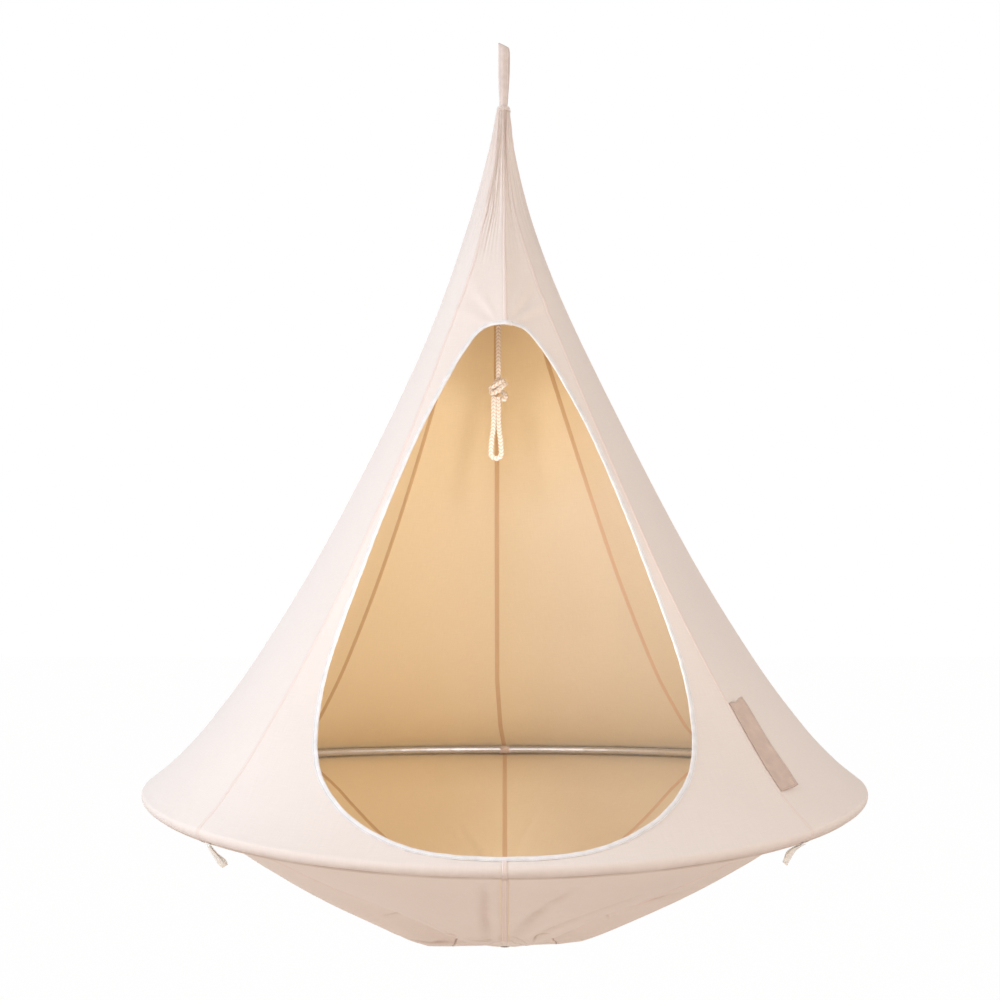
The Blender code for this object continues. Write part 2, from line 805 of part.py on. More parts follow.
def make_flap(parts, flap_cloth):
    rows = np.linspace(FLAP_TOP, FLAP_BOTTOM, 6)
    lines = []
    for column in range(4):
        line = []
        for height in rows:
            across = math.degrees(FLAP_WIDTH * column / 3 / cover_radius(height))
            lift = FLAP_LIFT + 0.0004 * column
            line.append(cover_point(height, PANEL_ANGLE + FLAP_START + across, lift))
        lines.append(line)
    item = add_object("label_flap", grid_mesh("label_flap", lines), parts, flap_cloth)
    add_solidify(item, FLAP_THICKNESS, offset=1.0)
    return pivot("flap_axis", (lines[0][0] + lines[0][-1]) / 2, [item], parts)


def build():
    clear_scene()
    parts = new_collection("hanging_cocoon_tent")
    cutters = new_collection("cutters")
    cloth = material("cotton_canvas", (0.83, 0.72, 0.65), 0.9)
    tape = material("white_tape", (0.91, 0.88, 0.86), 0.85)
    webbing = material("sheathed_webbing", (0.80, 0.69, 0.61), 0.9)
    aluminium = material("satin_aluminium", (0.72, 0.71, 0.70), 0.35, 1.0)
    rope = material("braided_rope", (0.88, 0.83, 0.76), 0.9)
    steel = material("nickel_plate", (0.60, 0.57, 0.54), 0.3, 1.0)
    flap_cloth = material("flap_cloth", (0.66, 0.53, 0.45), 0.9)

    tent = make_cloth(parts, cutters, cloth)
    tent.append(make_binding(parts, cutters, tape))
    tent += make_bottom(parts, cloth, steel)
    tent += make_ring(parts, cutters, aluminium, webbing)
    tent += [make_tie(side, parts, tape) for side in TIE_SIDES]
    tent.append(make_flap(parts, flap_cloth))
    make_loop(parts, cutters, webbing)
    hem, block = make_neck(parts, webbing, cloth)
    tent.append(block)

    hand_loop = make_hand_loop(parts, rope)
    loop_axis = pivot("hand_loop_axis", place(LOOP_X, 0, LOOP_PIVOT), [hand_loop], parts)
    hung = [make_rope(parts, rope), make_knot(parts, cutters, rope), loop_axis]
    tent.append(pivot("rope_axis", place(ROPE_X, 0, ROPE_PIVOT), hung, parts))
    neck = place(0, 0, SWING_HEIGHT)
    pivot("swing_axis", neck, [hem, pivot("sway_axis", neck, tent, parts)], parts)


build()
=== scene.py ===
# %% [markdown]
# # A hanging cocoon tent in Blender
# The tent is a cone of eight sewn canvas panels that hangs from one loop and is spread by a
# jointed tube ring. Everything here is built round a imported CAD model, the frame, which says
# where each piece sits and how it moves. Lengths are metres and +Z is up. The door faces -Y.

# %% Load the frame
import math

import bmesh
import bpy
import numpy as np
from mathutils import Matrix, Vector


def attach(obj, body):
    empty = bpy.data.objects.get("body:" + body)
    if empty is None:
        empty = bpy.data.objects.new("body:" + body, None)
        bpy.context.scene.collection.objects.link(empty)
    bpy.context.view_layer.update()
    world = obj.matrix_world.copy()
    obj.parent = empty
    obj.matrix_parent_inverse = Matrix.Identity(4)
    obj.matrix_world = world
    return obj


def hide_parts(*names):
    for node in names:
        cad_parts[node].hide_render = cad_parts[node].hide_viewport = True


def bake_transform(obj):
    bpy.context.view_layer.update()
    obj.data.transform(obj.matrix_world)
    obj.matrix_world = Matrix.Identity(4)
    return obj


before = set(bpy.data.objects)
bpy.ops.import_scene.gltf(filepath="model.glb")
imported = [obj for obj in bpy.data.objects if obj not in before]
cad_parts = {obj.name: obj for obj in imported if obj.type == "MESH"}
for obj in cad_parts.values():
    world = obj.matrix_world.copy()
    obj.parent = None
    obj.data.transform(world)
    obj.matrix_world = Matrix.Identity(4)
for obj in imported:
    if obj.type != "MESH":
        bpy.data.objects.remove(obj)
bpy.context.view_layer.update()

# %% [markdown]
# ## Camera
# The photograph was taken from a little below the ring, looking up by about four degrees.
# Its place was worked out from the ring: its back edge is seen through the door, and its two
# sides show at the rim. The small shift puts the tent's axis where the photograph has it.

# %% Camera
bpy.ops.object.camera_add(location=(0, -2.752, -1.248), rotation=(math.radians(94.22), 0, 0))
camera = bpy.context.object
camera.name = "studio_camera"
camera.data.sensor_width = 36
camera.data.lens = 44.64
camera.data.shift_x = -0.0048
bpy.context.scene.camera = camera
print("Camera at", tuple(round(value, 3) for value in camera.location))

# %% [markdown]
# ## Making a mesh from rows of points
# Cloth and rope are both grids: rows of points, joined by four-sided faces. One helper makes
# the faces of a grid and says where each face corner lies in it, so that a pattern can follow
# the threads. Another turns points and faces into a closed mesh, with its normals pointing out,
# its maps and its materials. Three more close a grid into a sheet with two walls, a tube with
# capped ends or a hoop. The last one says what the piece stands for and what it moves with.

# %% Grid and piece helpers
def grid(rows, columns, closed=False):
    """Faces of a grid of points, and each face corner's place in the grid's own map."""
    i, j = np.meshgrid(np.arange(rows - 1), np.arange(columns - 1 + closed), indexing="ij")
    corners = [(i, j), (i + 1, j), (i + 1, j + 1), (i, j + 1)]
    faces = [a * columns + b % columns for a, b in corners]
    places = [a * (columns + closed) + b for a, b in corners]
    return np.stack(faces, -1).reshape(-1, 4), np.stack(places, -1).reshape(-1, 4)


def map_of(u, v):
    """A grid's map as one long list of its places."""
    return np.stack(np.broadcast_arrays(u, v), -1).reshape(-1, 2)


def make_piece(name, points, faces, finishes, kinds=None, maps=(), marks=()):
    """A closed mesh, faces out and smooth, with UV maps by face corner and marks by point."""
    data = bpy.data.meshes.new(name)
    data.from_pydata([tuple(point) for point in points], [], [tuple(face) for face in faces])
    for title, corners in dict(maps).items():
        layer = data.uv_layers.new(name=title)
        layer.data.foreach_set("uv", np.asarray(corners, np.float32).ravel())
    for title, values in dict(marks).items():
        mark = data.attributes.new(title, "FLOAT", "POINT")
        mark.data.foreach_set("value", np.asarray(values, np.float32).ravel())
    if kinds is not None:
        data.polygons.foreach_set("material_index", np.asarray(kinds, np.int32))
    mesh = bmesh.new()
    mesh.from_mesh(data)
    bmesh.ops.recalc_face_normals(mesh, faces=mesh.faces)
    mesh.to_mesh(data)
    mesh.free()
    data.shade_smooth()
    for finish in finishes:
        data.materials.append(finish)
    item = bpy.data.objects.new(name, data)
    bpy.context.scene.collection.objects.link(item)
    return item


def two_walls(name, outer, inner, finishes, maps, marks=()):
    """A sheet's two walls joined along its four edges. Each map has a part for either wall."""
    rows, columns = outer.shape[:2]
    count = rows * columns
    faces, places = grid(rows, columns)
    ids = np.arange(count).reshape(rows, columns)
    ring = np.concatenate([ids[0, :-1], ids[:-1, -1], ids[-1, :0:-1], ids[:0:-1, 0]])
    after = np.roll(ring, -1)
    rim = np.stack([ring, after, after + count, ring + count], -1)
    rim_places = np.stack([ring, after, after, ring], -1)
    corners = {
        title: np.vstack([front[places], back[places], front[rim_places]])
        for title, (front, back) in maps.items()
    }
    marks = {title: np.tile(values.ravel(), 2) for title, values in dict(marks).items()}
    kinds = np.repeat((0, len(finishes) - 1, 0), (len(faces), len(faces), len(rim)))
    points = np.vstack([outer.reshape(-1, 3), inner.reshape(-1, 3)])
    faces = np.vstack([faces, faces + count, rim])
    return make_piece(name, points, faces, finishes, kinds, corners, marks)


def tube(name, rows, finish, maps, marks=()):
    """A skin round rows of section points, capped. Each map has a part for skin and cap."""
    count = rows.shape[1]
    last = (len(rows) - 1) * count
    faces, places = grid(len(rows), count, closed=True)
    corners = {
        title: np.vstack([skin[places].reshape(-1, 2), cap, cap])
        for title, (skin, cap) in maps.items()
    }
    faces = [*faces, range(count), range(last, last + count)]
    return make_piece(name, rows.reshape(-1, 3), faces, [finish], None, corners, marks)


def hoop(name, rows, finishes, maps, kinds=None, marks=()):
    """A skin round sections that stand in a ring. Its maps have one more row and column."""
    turns, count = rows.shape[:2]
    faces, places = grid(turns + 1, count, closed=True)
    corners = {title: whole[places] for title, whole in maps.items()}
    faces = faces % (turns * count)
    return make_piece(name, rows.reshape(-1, 3), faces, finishes, kinds, corners, marks)


def stand_in(item, body, node):
    """Puts a piece on the body it moves with, if one is named, and hides the CAD solid it takes
    over.
    """
    if isinstance(body, str):
        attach(item, body)
    else:
        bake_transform(item)
    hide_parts(node)


# %% [markdown]
# Lines of points are the other half. They are smoothed, evened out and measured here, and two
# small curves, a hump and an ease, shape every fold and fade.

# %% Line helpers
def unit(vectors):
    return vectors / np.maximum(np.linalg.norm(vectors, axis=-1), 1e-12)[..., None]


def smooth_line(points, steps, closed=False):
    """Points along a Catmull-Rom curve through the given ones, with as many columns."""
    rows = np.asarray(points, float)
    if closed:
        rows = np.vstack([rows[-1:], rows, rows[:2]])
    else:
        rows = np.vstack([2 * rows[:1] - rows[1:2], rows, 2 * rows[-1:] - rows[-2:-1]])
    t = np.arange(steps)[:, None] / steps
    made = []
    for before, start, end, after in zip(rows, rows[1:], rows[2:], rows[3:]):
        slope = (end - before) * t + (2 * before - 5 * start + 4 * end - after) * t**2
        made.append(start + (slope + (3 * start - before - 3 * end + after) * t**3) / 2)
    if not closed:
        made.append(rows[-2:-1])
    return np.vstack(made)


def along_line(points):
    """How far along its line each point is."""
    return np.concatenate([[0], np.cumsum(np.linalg.norm(np.diff(points, axis=0), axis=1))])


def even_line(points, spacing):
    """The same line with points an even distance apart, and how far along it each one is."""
    along = along_line(points)
    places = np.linspace(0, along[-1], max(3, round(along[-1] / spacing) + 1))
    return np.stack([np.interp(places, along, axis) for axis in points.T], -1), places


def square_to(line):
    """Unit directions square to a flat line."""
    ahead = unit(np.gradient(line, axis=0))
    return np.stack([-ahead[:, 1], ahead[:, 0]], -1)


def half_surface(item):
    """One side's area of a closed sheet, which is the flat area of its cloth."""
    return sum(face.area for face in item.data.polygons) / 2


def hump(x, centre, width):
    return np.exp(-(((x - centre) / width) ** 2))


def ease(x, start, end):
    """0 before start, 1 after end and a smooth step between them."""
    share = np.clip((x - start) / (end - start), 0, 1)
    return share * share * (3 - 2 * share)


# %% [markdown]
# ## Node arithmetic
# A pattern is easier to read as a sum than as a tree of boxes. Shade wraps one socket, and
# Python's own operators then add the Math nodes. Finish holds one material, and its node
# method makes any other node, with its settings before its inputs.

# %% Shade and Finish
class Shade:
    """One output socket that Python's operators work on."""

    def __init__(self, finish, socket):
        self.finish, self.socket = finish, socket

    def math(self, operation, *values):
        return self.finish.node("Math", {"operation": operation}, dict(enumerate(values)))

    def __add__(self, other):
        return self.math("ADD", self, other)

    def __sub__(self, other):
        return self.math("SUBTRACT", self, other)

    def __mul__(self, other):
        return self.math("MULTIPLY", self, other)

    def __truediv__(self, other):
        return self.math("DIVIDE", self, other)

    __radd__, __rmul__ = __add__, __mul__

    def sine(self):
        return self.math("SINE", self)

    def size(self):
        return self.math("ABSOLUTE", self)

    def cycle(self):
        return self.math("FRACT", self)

    def most(self, other):
        return self.math("MAXIMUM", self, other)

    def step(self, low, high, bottom=0.0, top=1.0):
        """A smooth step from bottom to top while this runs from low to high."""
        inputs = {0: self, 1: low, 2: high, 3: bottom, 4: top}
        return self.finish.node("MapRange", {"interpolation_type": "SMOOTHSTEP"}, inputs)


class Finish:
    """A material under construction."""

    def __init__(self, name, **constants):
        self.material = bpy.data.materials.new(name)
        self.material.use_nodes = True
        self.tree = self.material.node_tree
        self.shader = self.tree.nodes["Principled BSDF"]
        for title, value in constants.items():
            self.shader.inputs[title.replace("_", " ")].default_value = value

    def node(self, kind, settings=(), inputs=(), output=0):
        made = self.tree.nodes.new("ShaderNode" + kind)
        for title, value in dict(settings).items():
            setattr(made, title, value)
        for title, value in dict(inputs).items():
            if isinstance(value, Shade):
                self.tree.links.new(value.socket, made.inputs[title])
            else:
                made.inputs[title].default_value = value
        return Shade(self, made.outputs[output])

    def drive(self, title, value):
        self.tree.links.new(value.socket, self.shader.inputs[title])

    def split(self, vector):
        """The three numbers of a vector."""
        outputs = self.node("SeparateXYZ", (), {0: vector}).socket.node.outputs
        return [Shade(self, output) for output in outputs]

    def uv(self, name):
        """The two numbers of one of the piece's maps."""
        return self.split(self.node("UVMap", {"uv_map": name}))[:2]

    def mark(self, name):
        return self.node("Attribute", {"attribute_name": name}, output="Fac")

    def place(self):
        return self.node("TexCoord", output="Object")

    def vector(self, *values):
        return self.node("CombineXYZ", (), dict(enumerate(values)))

    def noise(self, vector, scale, detail):
        return self.node("TexNoise", (), {"Vector": vector, "Scale": scale, "Detail": detail})

    def blend(self, factor, first, second):
        """Colours mixed by a factor from 0 to 1."""
        return self.node("Mix", {"data_type": "RGBA"}, {0: factor, 6: first, 7: second}, output=2)

    def bump(self, height, distance, strength):
        inputs = {"Height": height, "Distance": distance, "Strength": strength}
        self.drive("Normal", self.node("Bump", (), inputs))


def paint(colour, share=1.0):
    """A colour as a paint chart gives it, from 0 to 255, in the light that nodes work with."""
    shares = [min(255, channel * share) / 255 for channel in colour]
    linear = [s / 12.92 if s <= 0.04045 else ((s + 0.055) / 1.055) ** 2.4 for s in shares]
    return (*linear, 1)


# %% [markdown]
# ## Canvas
# The tent is plain woven canvas: threads go over and under each other, about 15 to the
# centimetre, and some are thicker than others, which gives faint streaks both ways. The panels
# are joined by flat felled seams with two rows of stitching. A map in metres lets threads and
# stitches keep their real size on every panel. The inside is the same weave, but it looks tan,
# because light reaches it through the cloth, so it gets its own finish, darker where the
# seam's extra layers are.

# %% Canvas finishes
THREAD_PITCH = 0.00066
SEAM_ROW = 0.0020
CREASE_SHADE_COLOUR = (168, 134, 112)


def stitch_row(distance, along, row, length):
    """1 on the thread of a row of stitches, each a little longer than the gap after it."""
    thread = (distance - row).size().step(0.00028, 0.00050, 1, 0)
    phase = (along / length).cycle()
    return thread * (phase - 0.5).size().step(0.36, 0.42, 1, 0)


def canvas(name, colours, seam_colours, thread_and_groove_shade_colour, slubs, strip):
    """Woven cloth in two colours, painted light that changes over from the left side to the right
    and towards the top.
    """
    finish = Finish(name, Roughness=0.86, Sheen_Weight=0.10, Sheen_Roughness=0.6)
    u, v = finish.uv("weave")
    from_seam, along = finish.uv("seam")
    turn = math.pi / THREAD_PITCH
    plain = (u * turn).sine() * (v * turn).sine()
    streaks = finish.noise(finish.vector(u * 900, v * 30, 0), 1, 1)
    bars = finish.noise(finish.vector(u * 30, v * 900, 3), 1, 1)
    clouds = finish.noise(finish.place(), 3.1, 3)
    tone = (streaks + bars - 1) * slubs + (clouds - 0.5) * 0.16 + plain * 0.02
    across, _, up = finish.split(finish.place())
    # Painted light: the colour changes over from the left side to the right and goes back to the
    # left's towards the top; inside, that is richer tan to the left and up, paler to the right.
    side = (across - (up + 1.05).most(0) * 1.4).step(-0.35, 0.45)
    near, far = colours
    dark, light = (finish.blend(side, paint(near, s), paint(far, s)) for s in (0.86, 1.10))
    shade = finish.blend(tone + 0.5, dark, light)
    seam = from_seam.step(strip - 0.0005, strip + 0.0005, 1, 0)
    # Painted shade: inside, the seams are darker because less light comes through their extra
    # layers, and their colour changes from left to right like the cloth's.
    shade = finish.blend(seam, shade, finish.blend(side, *map(paint, seam_colours)))
    stitches = stitch_row(from_seam, along, SEAM_ROW, 0.0034)
    # The stitches are darker than the cloth: partly thread colour, partly painted shade in the
    # stitch grooves.
    shade = finish.blend(stitches * 0.5, shade, paint(thread_and_groove_shade_colour))
    # Painted shade: a thin dark line in the groove just outside each seam's strip.
    seam_groove_shade = (from_seam - 0.0044).size().step(0.0003, 0.0009, 1, 0)
    shade = finish.blend(seam_groove_shade * 0.3, shade, paint(thread_and_groove_shade_colour))
    # Painted shade and wear: darker on the rim roll's underside, towards the tip, just under the
    # rim and round the base's foot.
    shade_and_wear_amount = finish.mark("shade_and_wear") * finish.noise(finish.place(), 38, 3).step(0.2, 0.9, 0.35, 0.6)
    shade = finish.blend(shade_and_wear_amount, shade, paint(near, 0.82))
    # Painted shade in creases: under the rim where the base is sewn on, along the base's folds and
    # round the bottom panel.
    crease_shade = finish.mark("crease_shade") * finish.noise(finish.place(), 11, 2).step(0.3, 0.65, 0.3, 0.8)
    shade = finish.blend(crease_shade, shade, paint(CREASE_SHADE_COLOUR))
    finish.drive("Base Color", shade)
    finish.drive("Roughness", 0.86 + (streaks - 0.5) * 0.08 - stitches * 0.15)
    height = plain * 0.35 + streaks * 0.9 + bars * 0.9 + stitches * 1.6
    finish.bump(height, 0.00022, 0.55)
    return finish.material


outer_canvas = canvas(
    "outer_canvas", 2 * [(240, 219, 209)], 2 * [(237, 216, 206)], (204, 188, 179),
    slubs=0.16, strip=0.0038,
)
# Inside, both colours are painted light: the warm light that comes through the canvas.
inner_canvas = canvas(
    "inner_canvas", [(252, 218, 181), (253, 226, 206)], [(208, 175, 132), (234, 205, 182)],
    (226, 190, 148), slubs=0.20, strip=0.0058,
)
print("Canvas finishes:", outer_canvas.name, inner_canvas.name)

# %% [markdown]
# ## The grab rope
# A 12 mm braided rope hangs from the bundle in the tip. It ends in a knot with a hand loop
# below it. A braid is two families of strands that wind opposite ways and cross over and
# under, which shows as rows of V shapes. The relief is real here: every point of the tube is
# moved in or out by a formula on its place round and along the rope.

# %% Rope finish and braid helper
BRAID_COLUMNS = 4
BRAID_PITCH = 0.0080
BRAID_DEPTH = 0.0016
ROPE_SIDES = 40
ROPE_RADIUS = 0.006
ROPE_STEP = 0.0007


def rope_finish():
    finish = Finish("braided_rope_yarn", Roughness=0.88, Sheen_Weight=0.25, Sheen_Roughness=0.5)
    turn, along = finish.uv("braid")
    crown = finish.mark("crown")
    slant = finish.mark("slant")
    yarns = ((turn * 150 * slant + along * 2600) + slant * 0.7).sine()
    fuzz = finish.noise(finish.place(), 900, 2)
    # Painted shade in the gaps between the strands.
    gap_shade = crown.step(0.15, 0.74, 1, 0)
    shade = finish.blend(gap_shade * 0.85, paint((246, 240, 233)), paint((210, 172, 140)))
    shade = finish.blend((fuzz - 0.5) * 0.4 + 0.12, shade, paint((240, 220, 200)))
    finish.drive("Base Color", shade)
    finish.drive("Roughness", 0.84 + gap_shade * 0.12)
    finish.bump(yarns * 0.5 + fuzz, 0.00018, 0.6)
    return finish.material


rope_yarn = rope_finish()
print("Rope finish:", rope_yarn.name)


def braid_height(turn, along):
    """0 between strands to 1 on a strand's crown, and which way that strand leans."""
    column = BRAID_COLUMNS * turn + 0 * along
    share = column % 1
    leans_right = np.floor(column) % 2 == 0
    slope = np.where(leans_right, share, 1 - share) * 0.80
    bar = np.abs(np.sin(math.pi * (along / BRAID_PITCH + slope)))
    crown = bar**0.8 * np.abs(np.sin(math.pi * (share * 0.92 + 0.04))) ** 0.3
    return crown, np.where(leans_right, 1.0, -1.0)


def frames_along(line):
    """Two directions across the line at each point, which never twist about it."""
    ahead = unit(np.gradient(line, axis=0))
    side = np.cross(ahead[0], (0, 1, 0.1))
    sides = []
    for direction in ahead:
        side = side - direction * side.dot(direction)
        side = side / np.linalg.norm(side)
        sides.append(side)
    sides = np.array(sides)
    return sides, np.cross(ahead, sides)


def braided_rope(name, route, radius=ROPE_RADIUS, start=0.0):
    """A closed tube with the braid's relief, along an evenly spaced line."""
    line, along = even_line(route, ROPE_STEP)
    along = along + start
    sides, ups = frames_along(line)
    turns = np.arange(ROPE_SIDES) / ROPE_SIDES
    crown, slant = braid_height(turns[None], along[:, None])
    ends = np.minimum(along - along[0], along[-1] - along) / radius
    cap = np.sqrt(np.clip(1 - (1 - np.clip(ends, 0.02, 1)) ** 2, 0, 1))[:, None]
    reach = (radius + 0.0002 - BRAID_DEPTH * (1 - crown)) * cap
    angle = (turns * math.tau)[None, :, None]
    across = np.cos(angle) * sides[:, None] + np.sin(angle) * ups[:, None]
    whole = map_of(np.arange(ROPE_SIDES + 1) / ROPE_SIDES, along[:, None])
    maps = {"braid": (whole, map_of(turns, 0.0))}
    marks = {"crown": crown, "slant": slant}
    return tube(name, line[:, None] + across * reach[:, :, None], rope_yarn, maps, marks), line


# %% [markdown]
# The route comes from the CAD rope: straight down from the bundle to the knot, and a narrow
# loop below it. The knot is one more length of the same rope, wound round the strands, with
# its short tail at the lower right.

# %% Rope, knot and hand loop
RING_DROP = 1.656
ROPE_X, ROPE_TOP, KNOT_TOP, KNOT_CENTRE = -0.0145, 1.4317, 0.8853, 0.858
LOOP_X, LOOP_PIVOT, LOOP_BOTTOM = -0.0195, 0.829, 0.698
STRAND_SPREAD, LOOP_SPREAD = 0.0056, 0.0115


def standing(points):
    """Points whose heights are measured from the ring's sides, in the row frame."""
    made = np.array(points, float)
    made[:, 2] -= RING_DROP
    return made


rope_route = standing([(ROPE_X, 0, z) for z in np.linspace(ROPE_TOP, KNOT_TOP - 0.004, 20)])
grab_rope, rope_line = braided_rope("grab_rope_braid", rope_route)
stand_in(grab_rope, "rope", "grab_rope")

turn_height = LOOP_BOTTOM + ROPE_RADIUS + LOOP_SPREAD
left, right = LOOP_X - STRAND_SPREAD, LOOP_X + STRAND_SPREAD
half_circle = [math.radians(180 + 45 * i) for i in range(5)]
loop_turn = [
    (LOOP_X + LOOP_SPREAD * math.cos(a), 0, turn_height + LOOP_SPREAD * math.sin(a))
    for a in half_circle
]
leg = [(0.0, 0.846), (0.0, LOOP_PIVOT), (0.0002, 0.795), (0.0010, 0.770), (0.0042, 0.745)]
loop_points = [(left - spread, 0, z) for spread, z in leg] + loop_turn
loop_points += [(right + spread, 0, z) for spread, z in leg[::-1]]
hand_loop, loop_line = braided_rope(
    "hand_loop_braid", smooth_line(standing(loop_points), 6), start=0.3
)
stand_in(hand_loop, "hand_loop", "rope_loop")

KNOT_ROUTE = (
    (-0.001, 0.003, 0.026), (-0.004, 0.001, 0.018), (-0.010, 0.000, 0.008),
    (-0.0145, -0.005, -0.003), (-0.011, -0.0125, -0.009), (-0.001, -0.0160, -0.004),
    (0.0085, -0.0140, 0.006), (0.0135, -0.0050, 0.0135), (0.0100, 0.0060, 0.0145),
    (-0.001, 0.0120, 0.007), (-0.0115, 0.0090, -0.001), (-0.0150, -0.0020, 0.005),
    (-0.0090, -0.0125, 0.0065), (0.0005, -0.0150, 0.0130), (0.0085, -0.0100, 0.0190),
    (0.0095, 0.0010, 0.0205), (0.0060, 0.0085, 0.0100), (0.0085, 0.0070, -0.004),
    (0.0125, -0.0010, -0.0095), (0.0145, -0.0075, -0.0150), (0.0125, -0.0120, -0.0220),
    (0.0065, -0.0130, -0.0265),
)
knot_points = [(ROPE_X + 1.12 * x, y, KNOT_CENTRE + z) for x, y, z in KNOT_ROUTE]
knot, _ = braided_rope(
    "rope_knot_braid", smooth_line(standing(knot_points), 8), ROPE_RADIUS * 0.93, start=0.62
)
stand_in(knot, "rope", "rope_knot")

# %% [markdown]
# ## The shape of the cover
# The cover's outline is a curve through ten measured stations. High up it hangs as an
# eight-sided spire, and it rounds out to a circle at the ring, which dips a little at the door
# and at the back. The tip also leans a few millimetres to the left in the photograph. At the
# rim the cloth goes round the tube and turns in to the crease where the base is sewn on.

# %% Cover and base shapes
CLOTH = 0.0012
PANEL = 45.0  # degrees round the tent
NECK_HEIGHT, MOUTH_HEIGHT, RIM_HEIGHT = 1.514, 1.503, 0.0093
RING_RADIUS, WRAP_RADIUS, RING_DIP = 0.750, 0.0133, 0.016
BOW, BOW_HEIGHT, BOW_SPREAD = -0.0095, 1.24, 0.27
TIP_ROUNDNESS, ROUNDING_STARTS = 0.2, 0.60
RIGHT_SLACK, LEFT_SLACK, FRONT_SLACK = 0.82, 1.0, 0.38
BASE_SAG, CENTRE_DROOP = 0.0235, 0.051
COVER_STATIONS = (
    (1.514, 0.0122), (1.395, 0.0310), (1.228, 0.0750), (1.008, 0.1560), (0.736, 0.2825),
    (0.469, 0.4210), (0.257, 0.5500), (0.126, 0.6450), (0.052, 0.7100), (0.0093, 0.7593),
)
BASE_STATIONS = (
    (0.690, -0.034), (0.600, -0.078), (0.530, -0.119), (0.434, -0.170),
    (0.285, -0.237), (0.200, -0.278), (0.129, -0.313),
)
BASE_INNER = BASE_STATIONS[-1][0]
SEAM_HEIGHTS = (0.0, 0.07, 0.20, 0.60, 0.95, 1.12, 1.25, 1.43, 1.514)
SEAM_SHIFTS = (
    (0, 0, 0, 0, 0.005, 0.008, 0.010, 0.004, 0),
    (0, 0.001, 0.012, 0.006, -0.009, -0.018, -0.0215, -0.009, 0),
    (0, 0, 0, 0, 0, 0, 0, 0, 0),
    (0, 0.022, 0.030, 0.028, 0.028, 0.018, 0.008, 0.002, 0),
    (0, 0.012, 0.0205, 0.020, 0.018, 0.012, 0.005, 0.001, 0),
    (0, 0.008, 0.007, 0.009, 0.013, 0.008, 0.003, 0, 0),
    (0, 0, 0, 0, 0, 0, 0, 0, 0),
    (0, -0.008, -0.015, -0.006, 0.003, 0.021, 0.022, 0.009, 0),
)
cover_curve = smooth_line(COVER_STATIONS, 12)[::-1]
base_curve = smooth_line(((0.7445, -0.0155),) + BASE_STATIONS, 12)[::-1]


def cover_radius(height):
    return np.interp(height, cover_curve[:, 0], cover_curve[:, 1])


def ring_dip(azimuth):
    return -RING_DIP * (1 + np.cos(2 * np.radians(azimuth)))


def from_mid_panel(azimuth):
    return azimuth % PANEL - PANEL / 2


def octagon(azimuth, roundness):
    flat = math.cos(math.radians(PANEL / 2)) / np.cos(np.radians(from_mid_panel(azimuth)))
    return flat + (1 - flat) * roundness


def bow(height):
    """How far the spire leans to the left."""
    return BOW * hump(height, BOW_HEIGHT, BOW_SPREAD)


def polar(radius, azimuth, height, shift=0.0):
    angle = np.radians(azimuth)
    x, y = radius * np.sin(angle) + shift, -radius * np.cos(angle)
    return np.stack(np.broadcast_arrays(x, y, height - RING_DROP), -1)


def seam_turn(height, azimuth):
    """Degrees by which the seams run off their even places, shared out between them."""
    turn = 0 * (height + azimuth)
    for seam, shifts in enumerate(SEAM_SHIFTS):
        metres = np.interp(height, SEAM_HEIGHTS, shifts)
        gap = np.abs((azimuth - seam * PANEL + 180) % 360 - 180)
        turn = turn + np.degrees(metres / cover_radius(height)) * np.clip(1 - gap / PANEL, 0, 1)
    return turn


def cover_at(height, azimuth):
    rounding = np.clip(1 - height / ROUNDING_STARTS, 0, None) ** 2
    roundness = TIP_ROUNDNESS + (1 - TIP_ROUNDNESS) * rounding
    radius = cover_radius(height) * octagon(azimuth, roundness)
    dip = ring_dip(azimuth) * (1 - height / NECK_HEIGHT)
    return polar(radius, azimuth + seam_turn(height, azimuth), height + dip, bow(height))


def wrap_at(angle, azimuth, tuck=0.0):
    """On the cloth where it goes round the tube, angle 0 being outermost."""
    wander = 4 * np.sin(np.radians(azimuth) * 9 + 1) + 3 * np.sin(np.radians(azimuth) * 23)
    turn = np.radians(angle - wander * ease(-angle, 25, 60))
    reach = WRAP_RADIUS - tuck
    height = reach * np.sin(turn) + ring_dip(azimuth)
    return polar(RING_RADIUS + reach * np.cos(turn), azimuth, height)


def slackness(azimuth):
    """The side panels hang lower than the front and back ones, on the left most of all."""
    middle = np.radians(azimuth - from_mid_panel(azimuth))
    side = np.where(np.sin(middle) > 0, RIGHT_SLACK, LEFT_SLACK)
    return np.where(np.abs(np.sin(middle)) > np.abs(np.cos(middle)), side, FRONT_SLACK)


def base_at(radius, azimuth):
    share = (radius - BASE_INNER) / (RING_RADIUS - BASE_INNER)
    near_foot = 1 - 0.25 * np.clip(1 - share * 12, 0, None)
    droop = CENTRE_DROOP * hump(radius, 0.195, 0.19) * near_foot
    side_lift = np.where(azimuth % 360 < 180, 0.50, 0.22)
    lifted = np.where(np.abs(azimuth % 180 - 90) < PANEL / 2, side_lift, 1.0)
    between = 1 - lifted * np.sin(math.pi * from_mid_panel(azimuth) / PANEL) ** 2
    sag = (BASE_SAG * np.sin(math.pi * share) ** 2 + droop) * between * slackness(azimuth)
    height = np.interp(radius, base_curve[:, 0], base_curve[:, 1])
    out = radius * octagon(azimuth, np.clip(0.6 + share, 0, 1))
    return polar(out, azimuth, height - sag + ring_dip(azimuth) * share**2)


print("The cover is", cover_curve[-1, 0], "m high on a ring of", RING_RADIUS, "m radius")


